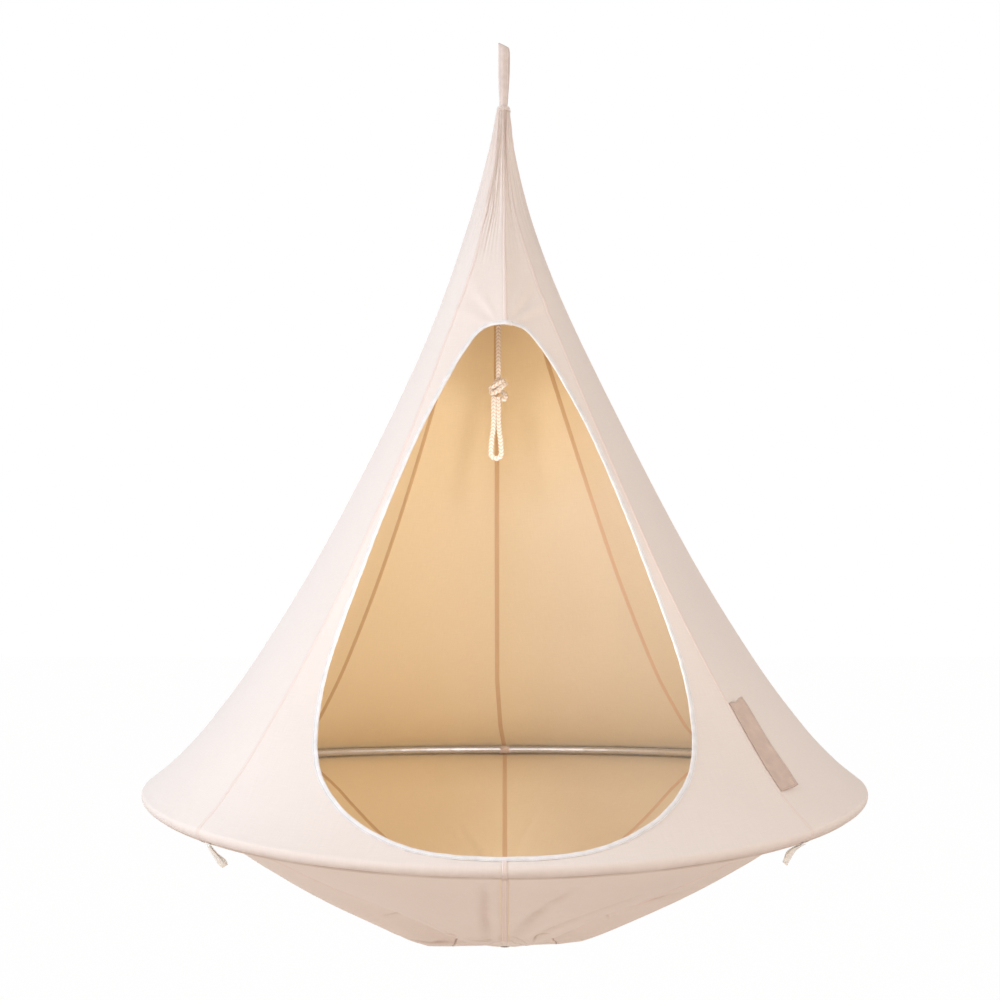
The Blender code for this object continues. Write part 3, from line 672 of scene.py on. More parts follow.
# %% [markdown]
# ## One panel of cloth
# A panel has two walls, the outside and the inside of the canvas, a cloth's thickness apart.
# Its columns of points are spaced closely beside the seams, where the felled seam stands
# proud, and widely across the middle. Folds are made by moving the points along the surface's
# normal. At a seam the two neighbours are moved in the seam's own plane, so that they meet.

# %% Panel helper
SEAM_STEPS = (
    0, 0.0008, 0.0014, 0.0020, 0.0026, 0.0032, 0.0038, 0.0045, 0.0054, 0.0070, 0.0095, 0.0140,
)
FRONT_RIDGE = 1.2
NARROW_HALF = 0.032  # in rows with a smaller half width, the seams shrink too


def panel_columns(number, half_width, middle, wide=1.0):
    """Each point's distance from the left seam, the rows' scale and the points' azimuth."""
    scale = np.clip(half_width / NARROW_HALF, 0, wide)[:, None]
    near = np.array(SEAM_STEPS)[None] * scale
    share = (np.arange(1, middle + 1) / middle)[None]
    far = near[:, -1:] + (half_width[:, None] - near[:, -1:]) * share
    left_half = np.hstack([near, far])
    distance = np.hstack([left_half, 2 * half_width[:, None] - left_half[:, -2::-1]])
    return distance, scale, number * PANEL + distance / (2 * half_width[:, None]) * PANEL


def surface_normals(points, azimuth, seam_pull):
    """Outward directions. At a seam they depend on its own line only, so that neighbours agree."""
    down, across = np.gradient(points, axis=0), np.gradient(points, axis=1)
    angle = np.radians(azimuth)
    along_ring = np.stack([np.cos(angle), np.sin(angle), angle * 0], -1)
    own, shared = unit(np.cross(down, across)), unit(np.cross(down, along_ring))
    return unit(own + (shared - own) * seam_pull[..., None])


def seam_profile(distance, scale):
    """The felled seam: a strip that stands proud, with a groove along each row of stitches."""
    d = distance / scale
    strip = 1 - ease(d, 0.0029, 0.0038)
    grooves = 0.5 * hump(d, SEAM_ROW, 0.0006) + 0.5 * hump(d, 0, 0.0006)
    grooves = grooves + 0.7 * hump(d, 0.0046, 0.0009)
    return (strip * 0.0006 - grooves * 0.0004) * scale


def cloth_panel(name, number, points, half_width, distance, scale, folds, marks):
    """A panel with its seams and puckers standing out from the plain points."""
    rows, columns = distance.shape
    azimuth = np.degrees(np.arctan2(points[..., 0], -points[..., 1]))
    beside = np.minimum(distance, 2 * half_width[:, None] - distance)
    along = along_line(points[:, 0])[:, None]
    normal = surface_normals(points, azimuth, 1 - ease(beside / scale, 0.0, 0.018))
    if (normal * points)[rows // 2, columns // 2, :2].sum() < 0:
        normal = -normal
    pucker = hump(beside, 0, 0.012) * np.sin(along * 210 + 2 * np.sin(along * 37 + number))
    raised = seam_profile(beside, scale) * (1 + FRONT_RIDGE * hump(azimuth, 0, 12))
    moved = folds + 0.00030 * pucker * ease(beside / scale, 0, 0.006)
    weave = map_of(distance - half_width[:, None], along)
    seam = [map_of(beside / np.clip(scale, 0.3, widest), along) for widest in (2, 1)]
    return two_walls(
        name,
        points + normal * (moved + raised)[..., None],
        points + normal * (moved - CLOTH - 0.8 * raised)[..., None],
        [outer_canvas, inner_canvas], {"weave": (weave, weave), "seam": seam}, marks,
    )


# %% [markdown]
# ## The cover's eight panels
# The folds are the ones that the photograph shows: long gathers in the spire where all the
# cloth is drawn into the loop, and faint tension folds that run up and out from the top of the
# door. They are sums of a few waves, so they come out the same each time.

# %% Cover panels
PANEL_NAMES = (
    "front_right", "right_front", "right_back", "back_right",
    "back_left", "left_back", "left_front", "front_left",
)
FRONT_PANELS = (0, 7)
DOOR_TOP = 0.972
RAYS = ((-64, 1.0), (-44, -0.7), (-31, 0.8), (24, 1.3), (38, -1.4), (52, 1.7), (68, -1.2))


def cover_folds(height, azimuth, points):
    """How far the cover stands out from its plain shape."""
    turn = np.radians(azimuth)
    gathers = np.sin(turn * 23 + 1.7 * np.sin(height * 9)) + 0.7 * np.sin(turn * 41 + height * 6)
    gathers *= 0.0009 * ease(height, 1.10, 1.42) * (1 - ease(height, 1.49, 1.514) * 0.4)
    streak = hump(azimuth, 318, 20) * ease(height, 1.10, 1.28) * (1 - ease(height, 1.40, 1.50))
    gathers += 0.0014 * streak * np.sin(turn * 57 + 5 * np.sin(height * 7))
    x, up = points[..., 0] - bow(DOOR_TOP), height - DOOR_TOP
    away = np.hypot(x, up)
    slope = np.degrees(np.arctan2(x, up))
    rays = sum(size * hump(slope, lean, 7) for lean, size in RAYS)
    front = hump((azimuth + 180) % 360 - 180, 0, 50) * ease(-points[..., 1], 0.0, 0.05)
    tension = 0.0021 * rays * front * ease(away, 0.015, 0.06) * (1 - ease(away, 0.10, 0.30))
    return gathers + tension


cover_heights = MOUTH_HEIGHT + (RIM_HEIGHT - MOUTH_HEIGHT) * np.linspace(0, 1, 190)
wrap_angles = np.concatenate([np.linspace(38, -52, 16), [-56, -59, -61]])
wrap_tucks = np.concatenate([np.zeros(16), [0.0004, 0.0012, 0.0024]])
cover_panels = []
split = len(cover_heights)
levels = np.concatenate([cover_heights, 0 * wrap_angles])
wrap_radii = RING_RADIUS + WRAP_RADIUS * np.cos(np.radians(wrap_angles))
radius = np.concatenate([cover_radius(cover_heights), wrap_radii])
for number, side in enumerate(PANEL_NAMES):
    left_turn, right_turn = (seam_turn(levels, (number + edge) * PANEL) for edge in (0, 1))
    half_width = radius * np.radians(PANEL + right_turn - left_turn) / 2
    middle = 46 if number in FRONT_PANELS else 26
    distance, scale, azimuth = panel_columns(number, half_width, middle)
    points = np.vstack([
        cover_at(cover_heights[:, None], azimuth[:split]),
        wrap_at(wrap_angles[:, None], azimuth[split:], wrap_tucks[:, None]),
    ])
    height = levels[:, None] + 0 * azimuth
    under = -np.append(0 * cover_heights, wrap_angles)[:, None] + 0 * azimuth
    # Painted shade: the spire is darker towards the tip, the rim roll darker on its underside, and
    # the crease where the cloth turns in under the tube is dark.
    tip_shade = 0.45 * ease(height, 1.0, 1.25) + 0.25 * ease(height, 1.38, 1.51)
    marks = {
        "shade_and_wear": np.where(height > 0, tip_shade, 0) + 1.15 * ease(under, -36, 36) * (height <= 0),
        "crease_shade": 0.8 * ease(under, 52, 60),
    }
    cover_panels.append(cloth_panel(
        f"cover_{side}", number, points, half_width, distance, scale,
        cover_folds(height, azimuth, points), marks,
    ))
print("Cover panels:", len(cover_panels), "faces each up to", len(cover_panels[0].data.polygons))

# %% [markdown]
# ## The door
# The door is one rounded outline, drawn square on and cut straight back through the two front
# panels with a Boolean. Its edge then disappears inside the white binding tape.

# %% Cut the door
DOOR_OUTLINE = (
    (0.000, 0.972), (0.045, 0.962), (0.083, 0.915), (0.117, 0.855), (0.169, 0.750),
    (0.211, 0.647), (0.2475, 0.547), (0.279, 0.450), (0.308, 0.357), (0.331, 0.268),
    (0.339, 0.195), (0.3335, 0.125), (0.307, 0.073), (0.243, 0.026), (0.140, -0.005),
    (0.000, -0.0123),
)
CUT_INSIDE_TAPE, CUT_FROM, CUT_DEPTH = 0.0035, -0.95, 0.949


def door_line(distance=0.0, steps=8):
    """The closed door outline as (x, height), moved outwards by a distance."""
    half = [np.array(point) for point in DOOR_OUTLINE]
    line = smooth_line(half + [point * (-1, 1) for point in half[-2:0:-1]], steps, closed=True)
    ahead = unit(np.roll(line, -1, 0) - np.roll(line, 1, 0))
    return line + np.stack([-ahead[:, 1], ahead[:, 0]], -1) * distance


def deselect():
    for item in bpy.context.selected_objects:
        item.select_set(False)


def apply_modifiers(item):
    deselect()
    item.select_set(True)
    bpy.context.view_layer.objects.active = item
    for modifier in list(item.modifiers):
        bpy.ops.object.modifier_apply(modifier=modifier.name)


outline = door_line(CUT_INSIDE_TAPE)
outline[:, 0] += bow(outline[:, 1])
count = len(outline)
near = np.column_stack([outline[:, 0], np.full(count, CUT_FROM), outline[:, 1] - RING_DROP])
far = near + (0, CUT_DEPTH, 0)
walls = [(i, (i + 1) % count, (i + 1) % count + count, i + count) for i in range(count)]
ends = [tuple(range(count)), tuple(range(2 * count - 1, count - 1, -1))]
door_space = make_piece("door_space", np.vstack([near, far]), walls + ends, [])
for panel in [cover_panels[number] for number in FRONT_PANELS]:
    cut = panel.modifiers.new("Door", "BOOLEAN")
    cut.operation, cut.solver, cut.object = "DIFFERENCE", "EXACT", door_space
    apply_modifiers(panel)
    print(panel.name, "has", len(panel.data.polygons), "faces round the door")
bpy.data.objects.remove(door_space)

for number, (panel, side) in enumerate(zip(cover_panels, PANEL_NAMES)):
    stand_in(panel, "tent", f"cover_panel_{side}")

# %% [markdown]
# ## The base
# Under the ring, eight more panels carry the sitter. They sag between their seams, and the
# cloth next to the small bottom panel is drawn together, so soft folds fan out from there.

# %% Base panels
# Each fold: its depth and width in millimetres, the strength of the painted shade along it, and its
# line as (azimuth, radius) points.
FOLD_LINES = (
    (4.2, 5.0, 1.0, ((-54, 0.300), (-36, 0.262), (-21, 0.226), (-9.4, 0.165))),
    (2.2, 4.0, 0.8, ((-70, 0.270), (-65, 0.225), (-60, 0.175), (-58, 0.135))),
    (1.8, 3.0, 1.0, ((46, 0.285), (49, 0.276), (54, 0.268))),
    (1.8, 3.0, 1.0, ((49, 0.345), (51.5, 0.382), (53, 0.425))),
    (2.0, 3.0, 0.7, ((3.5, 0.160), (8, 0.176), (12.3, 0.174), (18, 0.156))),
    (1.6, 3.0, 0.7, ((19, 0.180), (16, 0.240), (20, 0.270))),
    (5.4, 13.0, 0.36, ((5.7, 0.165), (7.9, 0.357), (8.8, 0.480), (12, 0.600))),
    (5.2, 13.0, 0.34, ((15, 0.190), (18.2, 0.329), (21, 0.438), (28, 0.520))),
    (5.4, 16.0, 0.32, ((26, 0.196), (38, 0.260), (48, 0.350), (56, 0.450))),
    (4.6, 9.0, 0.34, ((-10, 0.180), (-6, 0.350), (-4.0, 0.500), (-3.0, 0.640))),
    (4.0, 10.0, 0.10, ((-20, 0.160), (-26, 0.300), (-24, 0.420))),
    (2.4, 9.0, 0.2, ((88, 0.150), (84, 0.260), (92, 0.380))),
    (2.4, 10.0, 0.0, ((118, 0.160), (124, 0.300), (120, 0.420))),
    (2.2, 4.0, 0.8, ((150, 0.150), (158, 0.220), (156, 0.300))),
    (2.8, 10.0, 0.0, ((171, 0.160), (174, 0.340), (170, 0.500))),
    (2.6, 9.0, 0.1, ((193, 0.150), (190, 0.300), (195, 0.440))),
    (2.2, 4.0, 0.7, ((222, 0.160), (214, 0.230), (218, 0.320))),
    (2.4, 10.0, 0.0, ((248, 0.150), (252, 0.280), (246, 0.400))),
    (2.2, 5.0, 0.5, ((276, 0.160), (270, 0.260), (274, 0.340))),
)


def from_line(x, y, corners):
    """How far points are from a line, and where on it, from 0 to 1, the nearest place is."""
    nearest, along = np.full(x.shape, 9.0), np.zeros(x.shape)
    for number, (start, end) in enumerate(zip(corners, corners[1:])):
        step = end - start
        share = ((x - start[0]) * step[0] + (y - start[1]) * step[1]) / step.dot(step)
        share = np.clip(share, 0, 1)
        gap = np.hypot(x - start[0] - share * step[0], y - start[1] - share * step[1])
        along = np.where(gap < nearest, (number + share) / (len(corners) - 1), along)
        nearest = np.minimum(nearest, gap)
    return nearest, along


def base_folds(radius, azimuth):
    """How far the base stands out below its plain shape, and how much shade is painted into its
    creases.
    """
    turn = np.radians(azimuth)
    drawn = np.sin(turn * 31 + 3 * np.sin(turn * 5)) + 0.6 * np.sin(turn * 53 + radius * 40)
    slack = np.sin(turn * 14 + radius * 17) * np.sin(radius * 9 + turn * 3)
    folds = 0.0009 * (drawn - 1.6) * hump(radius, 0.129, 0.07)
    folds = folds + 0.0007 * slack * hump(radius, 0.42, 0.2)
    creases = 0 * radius
    for size, width, dark, line in FOLD_LINES:
        turns, reaches = np.radians([a for a, _ in line]), np.array([r for _, r in line])
        corners = smooth_line(np.stack([reaches * np.sin(turns), -reaches * np.cos(turns)], -1), 5)
        gap, along = from_line(radius * np.sin(turn), -radius * np.cos(turn), corners)
        strength, width = np.sin(math.pi * np.clip(along, 0.03, 0.97)) ** 0.6, width / 1000
        dip = hump(gap, 0, width) - 0.5 * hump(gap, 2.1 * width, 1.2 * width)
        folds = folds - 0.001 * size * strength * dip
        # Painted shade along each fold line.
        creases = creases + dark * strength * hump(gap, 0, max(0.0020, 0.75 * width))
    return folds, creases


base_radii = np.append([0.7510, 0.7475, 0.7430], np.linspace(0.738, BASE_INNER, 170))
base_angles = np.array([-59.5, -61.5, -65, -70])
base_tucks = np.array([0.0022, 0.0010, 0.0002, 0.0])
# Painted shade in the crease under the rim.
base_crease_shades = np.append([0.75, 0.75, 0.7, 0.5, 0.2, 0.05], 0 * base_radii[2:])[:, None]
split = len(base_angles)
wrap_radii = RING_RADIUS + WRAP_RADIUS * np.cos(np.radians(base_angles))
radius = np.concatenate([wrap_radii, base_radii])
half_width = radius * math.radians(PANEL / 2)
foot_rows = []
for number, side in enumerate(PANEL_NAMES):
    middle = 60 if number in FRONT_PANELS else 34
    distance, scale, azimuth = panel_columns(number, half_width, middle, 1.6)
    points = np.vstack([
        wrap_at(base_angles[:, None], azimuth[:split], base_tucks[:, None]),
        base_at(base_radii[:, None], azimuth[split:]),
    ])
    spread = radius[:, None] + 0 * azimuth
    folds, creases = base_folds(spread, azimuth)
    marks = {
        # Painted shade just under the rim, and darker round the foot; the crease mark is painted
        # shade along the folds and under the rim.
        "shade_and_wear": ease(spread, 0.70, 0.75) * 0.3 + hump(spread, BASE_INNER, 0.05) * 0.3,
        "crease_shade": creases + base_crease_shades,
    }
    panel = cloth_panel(
        f"base_{side}", number, points, half_width, distance, scale,
        folds * ease(0.752 - spread, 0.0, 0.05), marks,
    )
    foot = range(distance.size - distance.shape[1], distance.size)
    foot_rows += [tuple(panel.data.vertices[i].co) for i in foot]
    stand_in(panel, "tent", f"base_panel_{side}")
print("A base panel is cut from", round(half_surface(panel), 3), "square metres")

# %% [markdown]
# ## Tape, webbing and metal finishes
# The binding is white cotton tape, woven on the slant, with one row of stitching. The hanging
# loop is webbing inside a sleeve of the tent's own cloth. The ring is drawn aluminium tube,
# whose fine lines run along it, and the eyelet is plated.

# %% Tape, flap and metal finishes
def tape(name, colour, thread, row):
    """Tape woven on the slant, with a row of stitches at its place in the seam map."""
    finish = Finish(name, Roughness=0.84, Sheen_Weight=0.15, Sheen_Roughness=0.5)
    u, v = finish.uv("weave")
    across, along = finish.uv("seam")
    slant = ((u + v) * (math.tau / 0.0011)).sine()
    ribs = (u * (math.tau / 0.0007)).sine()
    clouds = finish.noise(finish.place(), 60, 3)
    shade = finish.blend(clouds, paint(colour, 0.93), paint(colour, 1.1))
    stitches = stitch_row(across, along, row, 0.0030)
    shade = finish.blend(stitches * 0.9, shade, paint(thread))
    finish.drive("Base Color", shade)
    finish.drive("Roughness", 0.80 + clouds * 0.1)
    finish.bump(slant * 0.18 + ribs * 0.08 + stitches * 1.6 + clouds * 0.5, 0.0002, 0.35)
    return finish.material


def metal(name, colour, roughness, stretch, dents):
    """Brushed or plated metal, with fine lines along the axes that stretch multiplies least."""
    finish = Finish(name, Metallic=1.0)
    place = finish.place()
    stretched = finish.node("VectorMath", {"operation": "MULTIPLY"}, {0: place, 1: stretch})
    lines = finish.noise(stretched, 1, 2)
    clouds = finish.noise(place, 9, 3)
    scuffs = finish.noise(place, 70, 4).step(0.58, 0.72)
    shade = finish.blend(lines * 0.5 + clouds * 0.3, paint(colour), paint(colour, 0.82))
    finish.drive("Base Color", shade)
    finish.drive("Roughness", roughness + lines * 0.10 + scuffs * dents)
    finish.bump(lines + scuffs * 0.5, 0.00008, 0.35)
    return finish.material


binding_tape = tape("binding_tape", (228, 221, 218), (200, 190, 186), 0.0070)
tie_tape = tape("tie_tape", (238, 230, 224), (224, 215, 208), 0.0085)
flap_weave = tape("flap_weave", (198, 173, 158), (180, 154, 139), 0.0030)
webbing = tape("sheathed_webbing_cloth", (214, 197, 189), (196, 178, 168), 0.0045)
satin_tube = metal("satin_tube", (243, 246, 255), 0.42, (260, 260, 900), 0.12)
plated = metal("plated_brass", (128, 124, 118), 0.30, (500, 500, 900), 0.20)
tapes = (binding_tape, tie_tape, flap_weave, webbing)
print("Tapes:", *(made.name for made in tapes), "metals:", satin_tube.name, plated.name)

for name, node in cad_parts.items():
    if name.startswith(("ring_section", "ring_spigot")):
        node.data.materials.clear()
        node.data.materials.append(satin_tube)


# %% [markdown]
# ## Bands
# Tape and webbing are swept bands: a thin closed section carried along a line. The same
# helper closes the two ends and gives the band its maps in metres.

# %% Band helper
def band(name, rows, along, finish, across):
    """A capped band through rows of section points; across gives stitches their place."""
    middle = rows[len(rows) // 2]
    around = along_line(np.vstack([middle, middle[:1]]))
    cap = map_of(around[:-1], 0.0)
    maps = {
        "weave": (map_of(around, along[:, None]), cap),
        "seam": (map_of(np.append(across, across[0]), along[:, None]), cap + 1),
    }
    return tube(name, rows, finish, maps)


# %% [markdown]
# ## The binding
# A white tape is folded over the door's cut edge and sewn through. It follows the cover's
# surface, so each point of the outline is first found on the cover. Its end laps over its
# start at the top, a little right of the centre seam.

# %% Door binding
def on_cover(x, height):
    """The cover's own height and azimuth at a point of the door as seen square on."""
    station, azimuth = height.copy(), 0 * x
    for _ in range(40):
        here = cover_at(station, azimuth)
        turn = (x - here[:, 0]) / cover_radius(station) / np.cos(np.radians(azimuth))
        azimuth = azimuth + np.degrees(turn) * 0.8
        station = station + (height - RING_DROP - here[:, 2]) * 0.8
    return station, azimuth


TAPE_SECTION = (
    (0.0090, 0.0003), (0.0091, 0.0009), (0.0087, 0.0012), (0.0080, 0.0011), (0.0074, 0.0008),
    (0.0070, 0.00065), (0.0066, 0.0008), (0.0058, 0.0012), (0.0040, 0.0014), (0.0022, 0.0014),
    (0.0008, 0.0011), (-0.0001, 0.0005), (-0.0004, -0.0005), (-0.0002, -0.0015), (0.0006, -0.0023),
    (0.0022, -0.0026), (0.0050, -0.0024), (0.0086, -0.0022), (0.0090, -0.0018), (0.0086, -0.0014),
    (0.0036, -0.0014), (0.0030, -0.0012), (0.0030, 0.0000), (0.0036, 0.0002), (0.0086, 0.0002),
)
TAPE_WIDTH, TAPE_LAP, TAPE_STEP = 0.021, 0.018, 0.0035
door = door_line(steps=40)
door[:, 0] += bow(door[:, 1])
start = int(np.argmin(np.hypot(door[:, 0] - 0.001, door[:, 1] - DOOR_TOP)))
door = np.roll(door, -start, 0)
door_route, _ = even_line(np.vstack([door, door[: len(door) // 3]]), TAPE_STEP)
total = along_line(np.vstack([door, door[:1]]))[-1]
door_route = door_route[: int(round((total + TAPE_LAP) / TAPE_STEP)) + 1]
station, azimuth = on_cover(door_route[:, 0], door_route[:, 1])
edge = cover_at(station, azimuth)
upward = cover_at(station + 0.004, azimuth) - cover_at(station - 0.004, azimuth)
sideways = cover_at(station, azimuth + 0.3) - cover_at(station, azimuth - 0.3)
out = unit(np.cross(sideways, upward))
out *= np.sign(-out[:, 1])[:, None]
beside = np.cross(unit(np.gradient(edge, axis=0)), out)
beside *= np.sign((beside * (edge - edge.mean(0))).sum(1).mean())
along = along_line(edge)
run = along[:, None]
reach, rise = np.array(TAPE_SECTION).T[:, None]
lap = ease(run, run[-1] - 0.026, run[-1] - 0.014)
ripple = 0.00022 * np.sin(run * 310 + 3 * np.sin(run * 41))
proud = rise + np.sign(rise + 0.0006) * 0.0014 * lap
proud = proud + cover_folds(station, azimuth, edge)[:, None] + ripple * ease(reach, 0, 0.004)
width = reach - 0.0006 * lap + 0.00025 * np.sin(run * 130 + 2 * np.sin(run * 23))
rows = edge[:, None] + beside[:, None] * width[..., None] + out[:, None] * proud[..., None]
binding = band("door_binding_tape", rows, along, binding_tape, reach[0])
stand_in(binding, "tent", "door_binding")
print("Binding tape is", round(float(along[-1]), 3), "m long")

# %% [markdown]
# ## The hanging loop and the hem
# A strip of webbing goes up, round an eye and down again. Its fold is worn askew, so its top
# slopes down to the right and the back layer shows beside the front one. Below it, the cover's
# mouth is gathered and hemmed round its foot.

# %% Hanging loop and neck hem
NECK_LEAN = float(bow(NECK_HEIGHT))
WEBBING_WIDTH, WEBBING_STEP, HALF_THICKNESS = 0.025, 0.0022, 0.0019
EYE_RADIUS, EYE_HEIGHT = 0.0080, -0.0115
leg = [(0.0026, -0.158), (0.0026, -0.118), (0.0026, -0.085), (0.0030, -0.055), (0.0064, -0.031)]
side_view = leg + [
    (EYE_RADIUS * math.cos(math.radians(a)), EYE_HEIGHT + EYE_RADIUS * math.sin(math.radians(a)))
    for a in (0, 30, 60, 90)
]
side_view = [(-y, z) for y, z in side_view] + side_view[-2::-1]
side_line, _ = even_line(smooth_line(side_view, 10), WEBBING_STEP)
outward = square_to(side_line)
top = len(side_line) // 2
behind = ease(np.arange(len(side_line)), top - 5, top + 5)[:, None]
height = side_line[:, 1:]
near_top = ease(height, -0.060, -0.006)
half_width = np.interp(
    height, (-0.150, -0.135, -0.105, -0.075, 0.0), (0.0088, 0.0094, 0.0106, 0.0116, 0.0118)
)
middle = np.interp(height, (-0.143, 0.0), (NECK_LEAN, -0.0030))
middle = middle + behind * np.interp(height, (-0.143, -0.06), (0.0006, 0.0030))
share = np.array([-1, -1, -0.97, -0.9, -0.7, -0.45, -0.2, 0.05, 0.3, 0.5, 0.7, 0.9, 0.97, 1, 1])
share = np.concatenate([share, share[::-1]])
thick = np.array([-0.3, 0.5, 0.85, 1, 1, 1, 1, 1, 1, 1, 1, 1, 0.85, 0.5, -0.3])
thick = np.concatenate([thick, -thick[::-1]]) * HALF_THICKNESS
arch = 0.0030 * (1 - share**2) * hump(share, -0.25, 0.8) + 0.0005 * hump(share, 0.05, 0.2)
off = thick + arch * np.where(behind > 0.5, 0.4, 1) * ease(-height, 0.0, 0.02)
x = middle + half_width * share
z_shift = -0.50 * (x - middle) * near_top - 0.0045 * (behind * near_top)
y, z = side_line[:, :1] + outward[:, :1] * off, height + outward[:, 1:] * off + z_shift
along = np.arange(len(side_line)) * WEBBING_STEP
rows = np.stack([x, y, z], -1)
loop = band("hanging_loop_webbing", rows, along, webbing, 0.0125 * (1 - np.abs(share)))
bend_at_foot = ("hanger", "neck", (0, 0, -0.128), (0, 0, -0.148))
stand_in(loop, bend_at_foot, "hanging_loop")

HEM_ROWS = (
    (0.0148, 1.4965), (0.0146, 1.4995), (0.0142, 1.5025), (0.0138, 1.5050), (0.0133, 1.5068),
    (0.0127, 1.5072), (0.0121, 1.5062), (0.0120, 1.5030), (0.0124, 1.4995), (0.0134, 1.4965),
)
HEM_SIDES, HEM_WIDTH, HEM_LENGTH = 96, 0.012, 0.168
turn = np.arange(HEM_SIDES) * 360 / HEM_SIDES
scallop = 0.0011 * np.sin(np.radians(turn) * 11 + 1) + 0.0007 * np.sin(np.radians(turn) * 7)
rows = []
for radius, level in HEM_ROWS:
    lie = np.full(HEM_SIDES, min(level, MOUTH_HEIGHT))
    pleat = cover_folds(lie, turn, cover_at(lie, turn))
    edge = level + scallop * ease(level, 1.499, 1.506)
    rows.append(polar(radius + 1.6 * pleat, turn, edge, NECK_LEAN))
along = np.radians(np.append(turn, 360)) * 0.014
weave = map_of(np.arange(len(HEM_ROWS) + 1) * 0.0035, along[:, None])
rows = np.swapaxes(np.array(rows), 0, 1)
hem = hoop("neck_hem_cloth", rows, [outer_canvas], {"weave": weave, "seam": weave + 0.02})
bend_at_mouth = ("neck", "tent", (0, 0, -0.149), (0, 0, -0.158))
stand_in(hem, bend_at_mouth, "neck_hem")
print("Loop and hem made")

# %% [markdown]
# ## The bundle in the tip
# The webbing's ends, the rope and the ends of the seams are laid together in the tip, bound
# and sewn through. Hardly any of it shows, so it is a soft cone with the ends' folds in it.

# %% Sewn bundle
BUNDLE_SIDES = 64
turn = np.radians(np.arange(BUNDLE_SIDES) * 360 / BUNDLE_SIDES)
rows = []
for level in np.linspace(1.500, 1.432, 30):
    inside = cover_radius(level) * math.cos(math.radians(PANEL / 2)) - 0.0034
    folds = 0.0011 * np.sin(turn * 8 + level * 60) + 0.0005 * np.sin(turn * 17)
    edge = level + 0.0012 * np.sin(turn * 5)
    rows.append(polar(inside + folds - 0.0012, np.degrees(turn), edge, bow(level)))
along = np.arange(len(rows)) * 0.0024
bundle = band("sewn_bundle", np.array(rows), along, webbing, np.full(BUNDLE_SIDES, 0.5))
stand_in(bundle, "tent", "apex_block")
print("Bundle", len(bundle.data.polygons), "faces")

# %% [markdown]
# ## The bottom panel and its eyelet
# A small round panel closes the base. A plated eyelet in its middle lets rain out. The eyelet
# and its washer are turned shapes, made by spinning half a section.

# %% Bottom panel, eyelet and washer
BOTTOM_RADIUS, BOTTOM_CENTRE, BOTTOM_CUT = 0.1275, -0.3543, 0.258
EYELET_SEAT, EYELET_FLAT, BOTTOM_HOLE = 0.018, 0.0135, 0.0080
BOTTOM_LAPS = ((1.014, 0.0020), (1.0, 0.0017), (0.986, 0.0008), (0.972, -0.0002), (0.955, -0.0004))
SPOKES = 288
turn = np.arange(SPOKES) * 360 / SPOKES
foot = np.array(foot_rows)
foot_turn = np.degrees(np.arctan2(foot[:, 0], -foot[:, 1])) % 360
order = np.argsort(foot_turn)
reach = np.hypot(foot[:, 0], foot[:, 1])
foot_reach = np.interp(turn, foot_turn[order], reach[order], period=360)
foot_level = np.interp(turn, foot_turn[order], foot[order, 2] + RING_DROP, period=360)
levels, reaches = [], []
for share, lift in [*BOTTOM_LAPS, *((share, 0.0) for share in np.linspace(0.93, 0.2, 24))]:
    rise = (foot_level - BOTTOM_CENTRE) * ease(share, 0.02, 1.3) / ease(1, 0.02, 1.3)
    reaches.append(foot_reach * share)
    levels.append(BOTTOM_CENTRE + rise + lift)
for radius in (EYELET_SEAT, EYELET_FLAT, BOTTOM_HOLE):
    reaches.append(np.full(SPOKES, radius))
    levels.append(np.full(SPOKES, BOTTOM_CENTRE))
reaches, levels = np.array(reaches), np.array(levels)
lower = polar(reaches, turn[None], levels)
skin = np.swapaxes(np.concatenate([lower, lower[::-1] + (0, 0, CLOTH)]), 0, 1)
flat_map = np.pad(skin[..., :2], ((0, 1), (0, 1), (0, 0)), mode="wrap").reshape(-1, 2)
reach_map = np.pad(np.concatenate([reaches, reaches[::-1]]).T, (0, 1), mode="wrap")
along = np.radians(np.append(turn, 360)) * 0.12
seam = map_of(BOTTOM_RADIUS - reach_map, along[:, None])
kinds = (np.arange(skin[..., 0].size) % skin.shape[1] >= len(reaches) - 1).astype(int)
# Painted shade in the crease round the bottom panel's edge.
dark = np.concatenate([ease(reaches / foot_reach, 0.955, 0.985), 0 * reaches]).T
bottom = hoop(
    "bottom_panel_cloth", skin, [outer_canvas, inner_canvas],
    {"weave": flat_map, "seam": seam}, kinds, {"crease_shade": dark.ravel()},
)
stand_in(bottom, "tent", "bottom_panel")


def turned(name, profile):
    """A plated ring made by spinning a closed half section about the eyelet's axis."""
    deselect()
    bpy.ops.mesh.primitive_circle_add(vertices=len(profile), radius=0.001, location=(0, 0, 0))
    item = bpy.context.object
    item.name = name
    for point, (radius, level) in zip(item.data.vertices, profile):
        point.co = (radius, 0, BOTTOM_CENTRE - RING_DROP + level)
    bpy.ops.object.mode_set(mode="EDIT")
    bpy.ops.mesh.select_all(action="SELECT")
    bpy.ops.mesh.spin(steps=64, angle=math.tau, center=(0, 0, 0), axis=(0, 0, 1))
    bpy.ops.mesh.select_all(action="SELECT")
    bpy.ops.mesh.normals_make_consistent(inside=False)
    bpy.ops.object.mode_set(mode="OBJECT")
    bpy.ops.object.shade_smooth_by_angle(angle=math.radians(50))
    item.data.materials.append(plated)
    return item


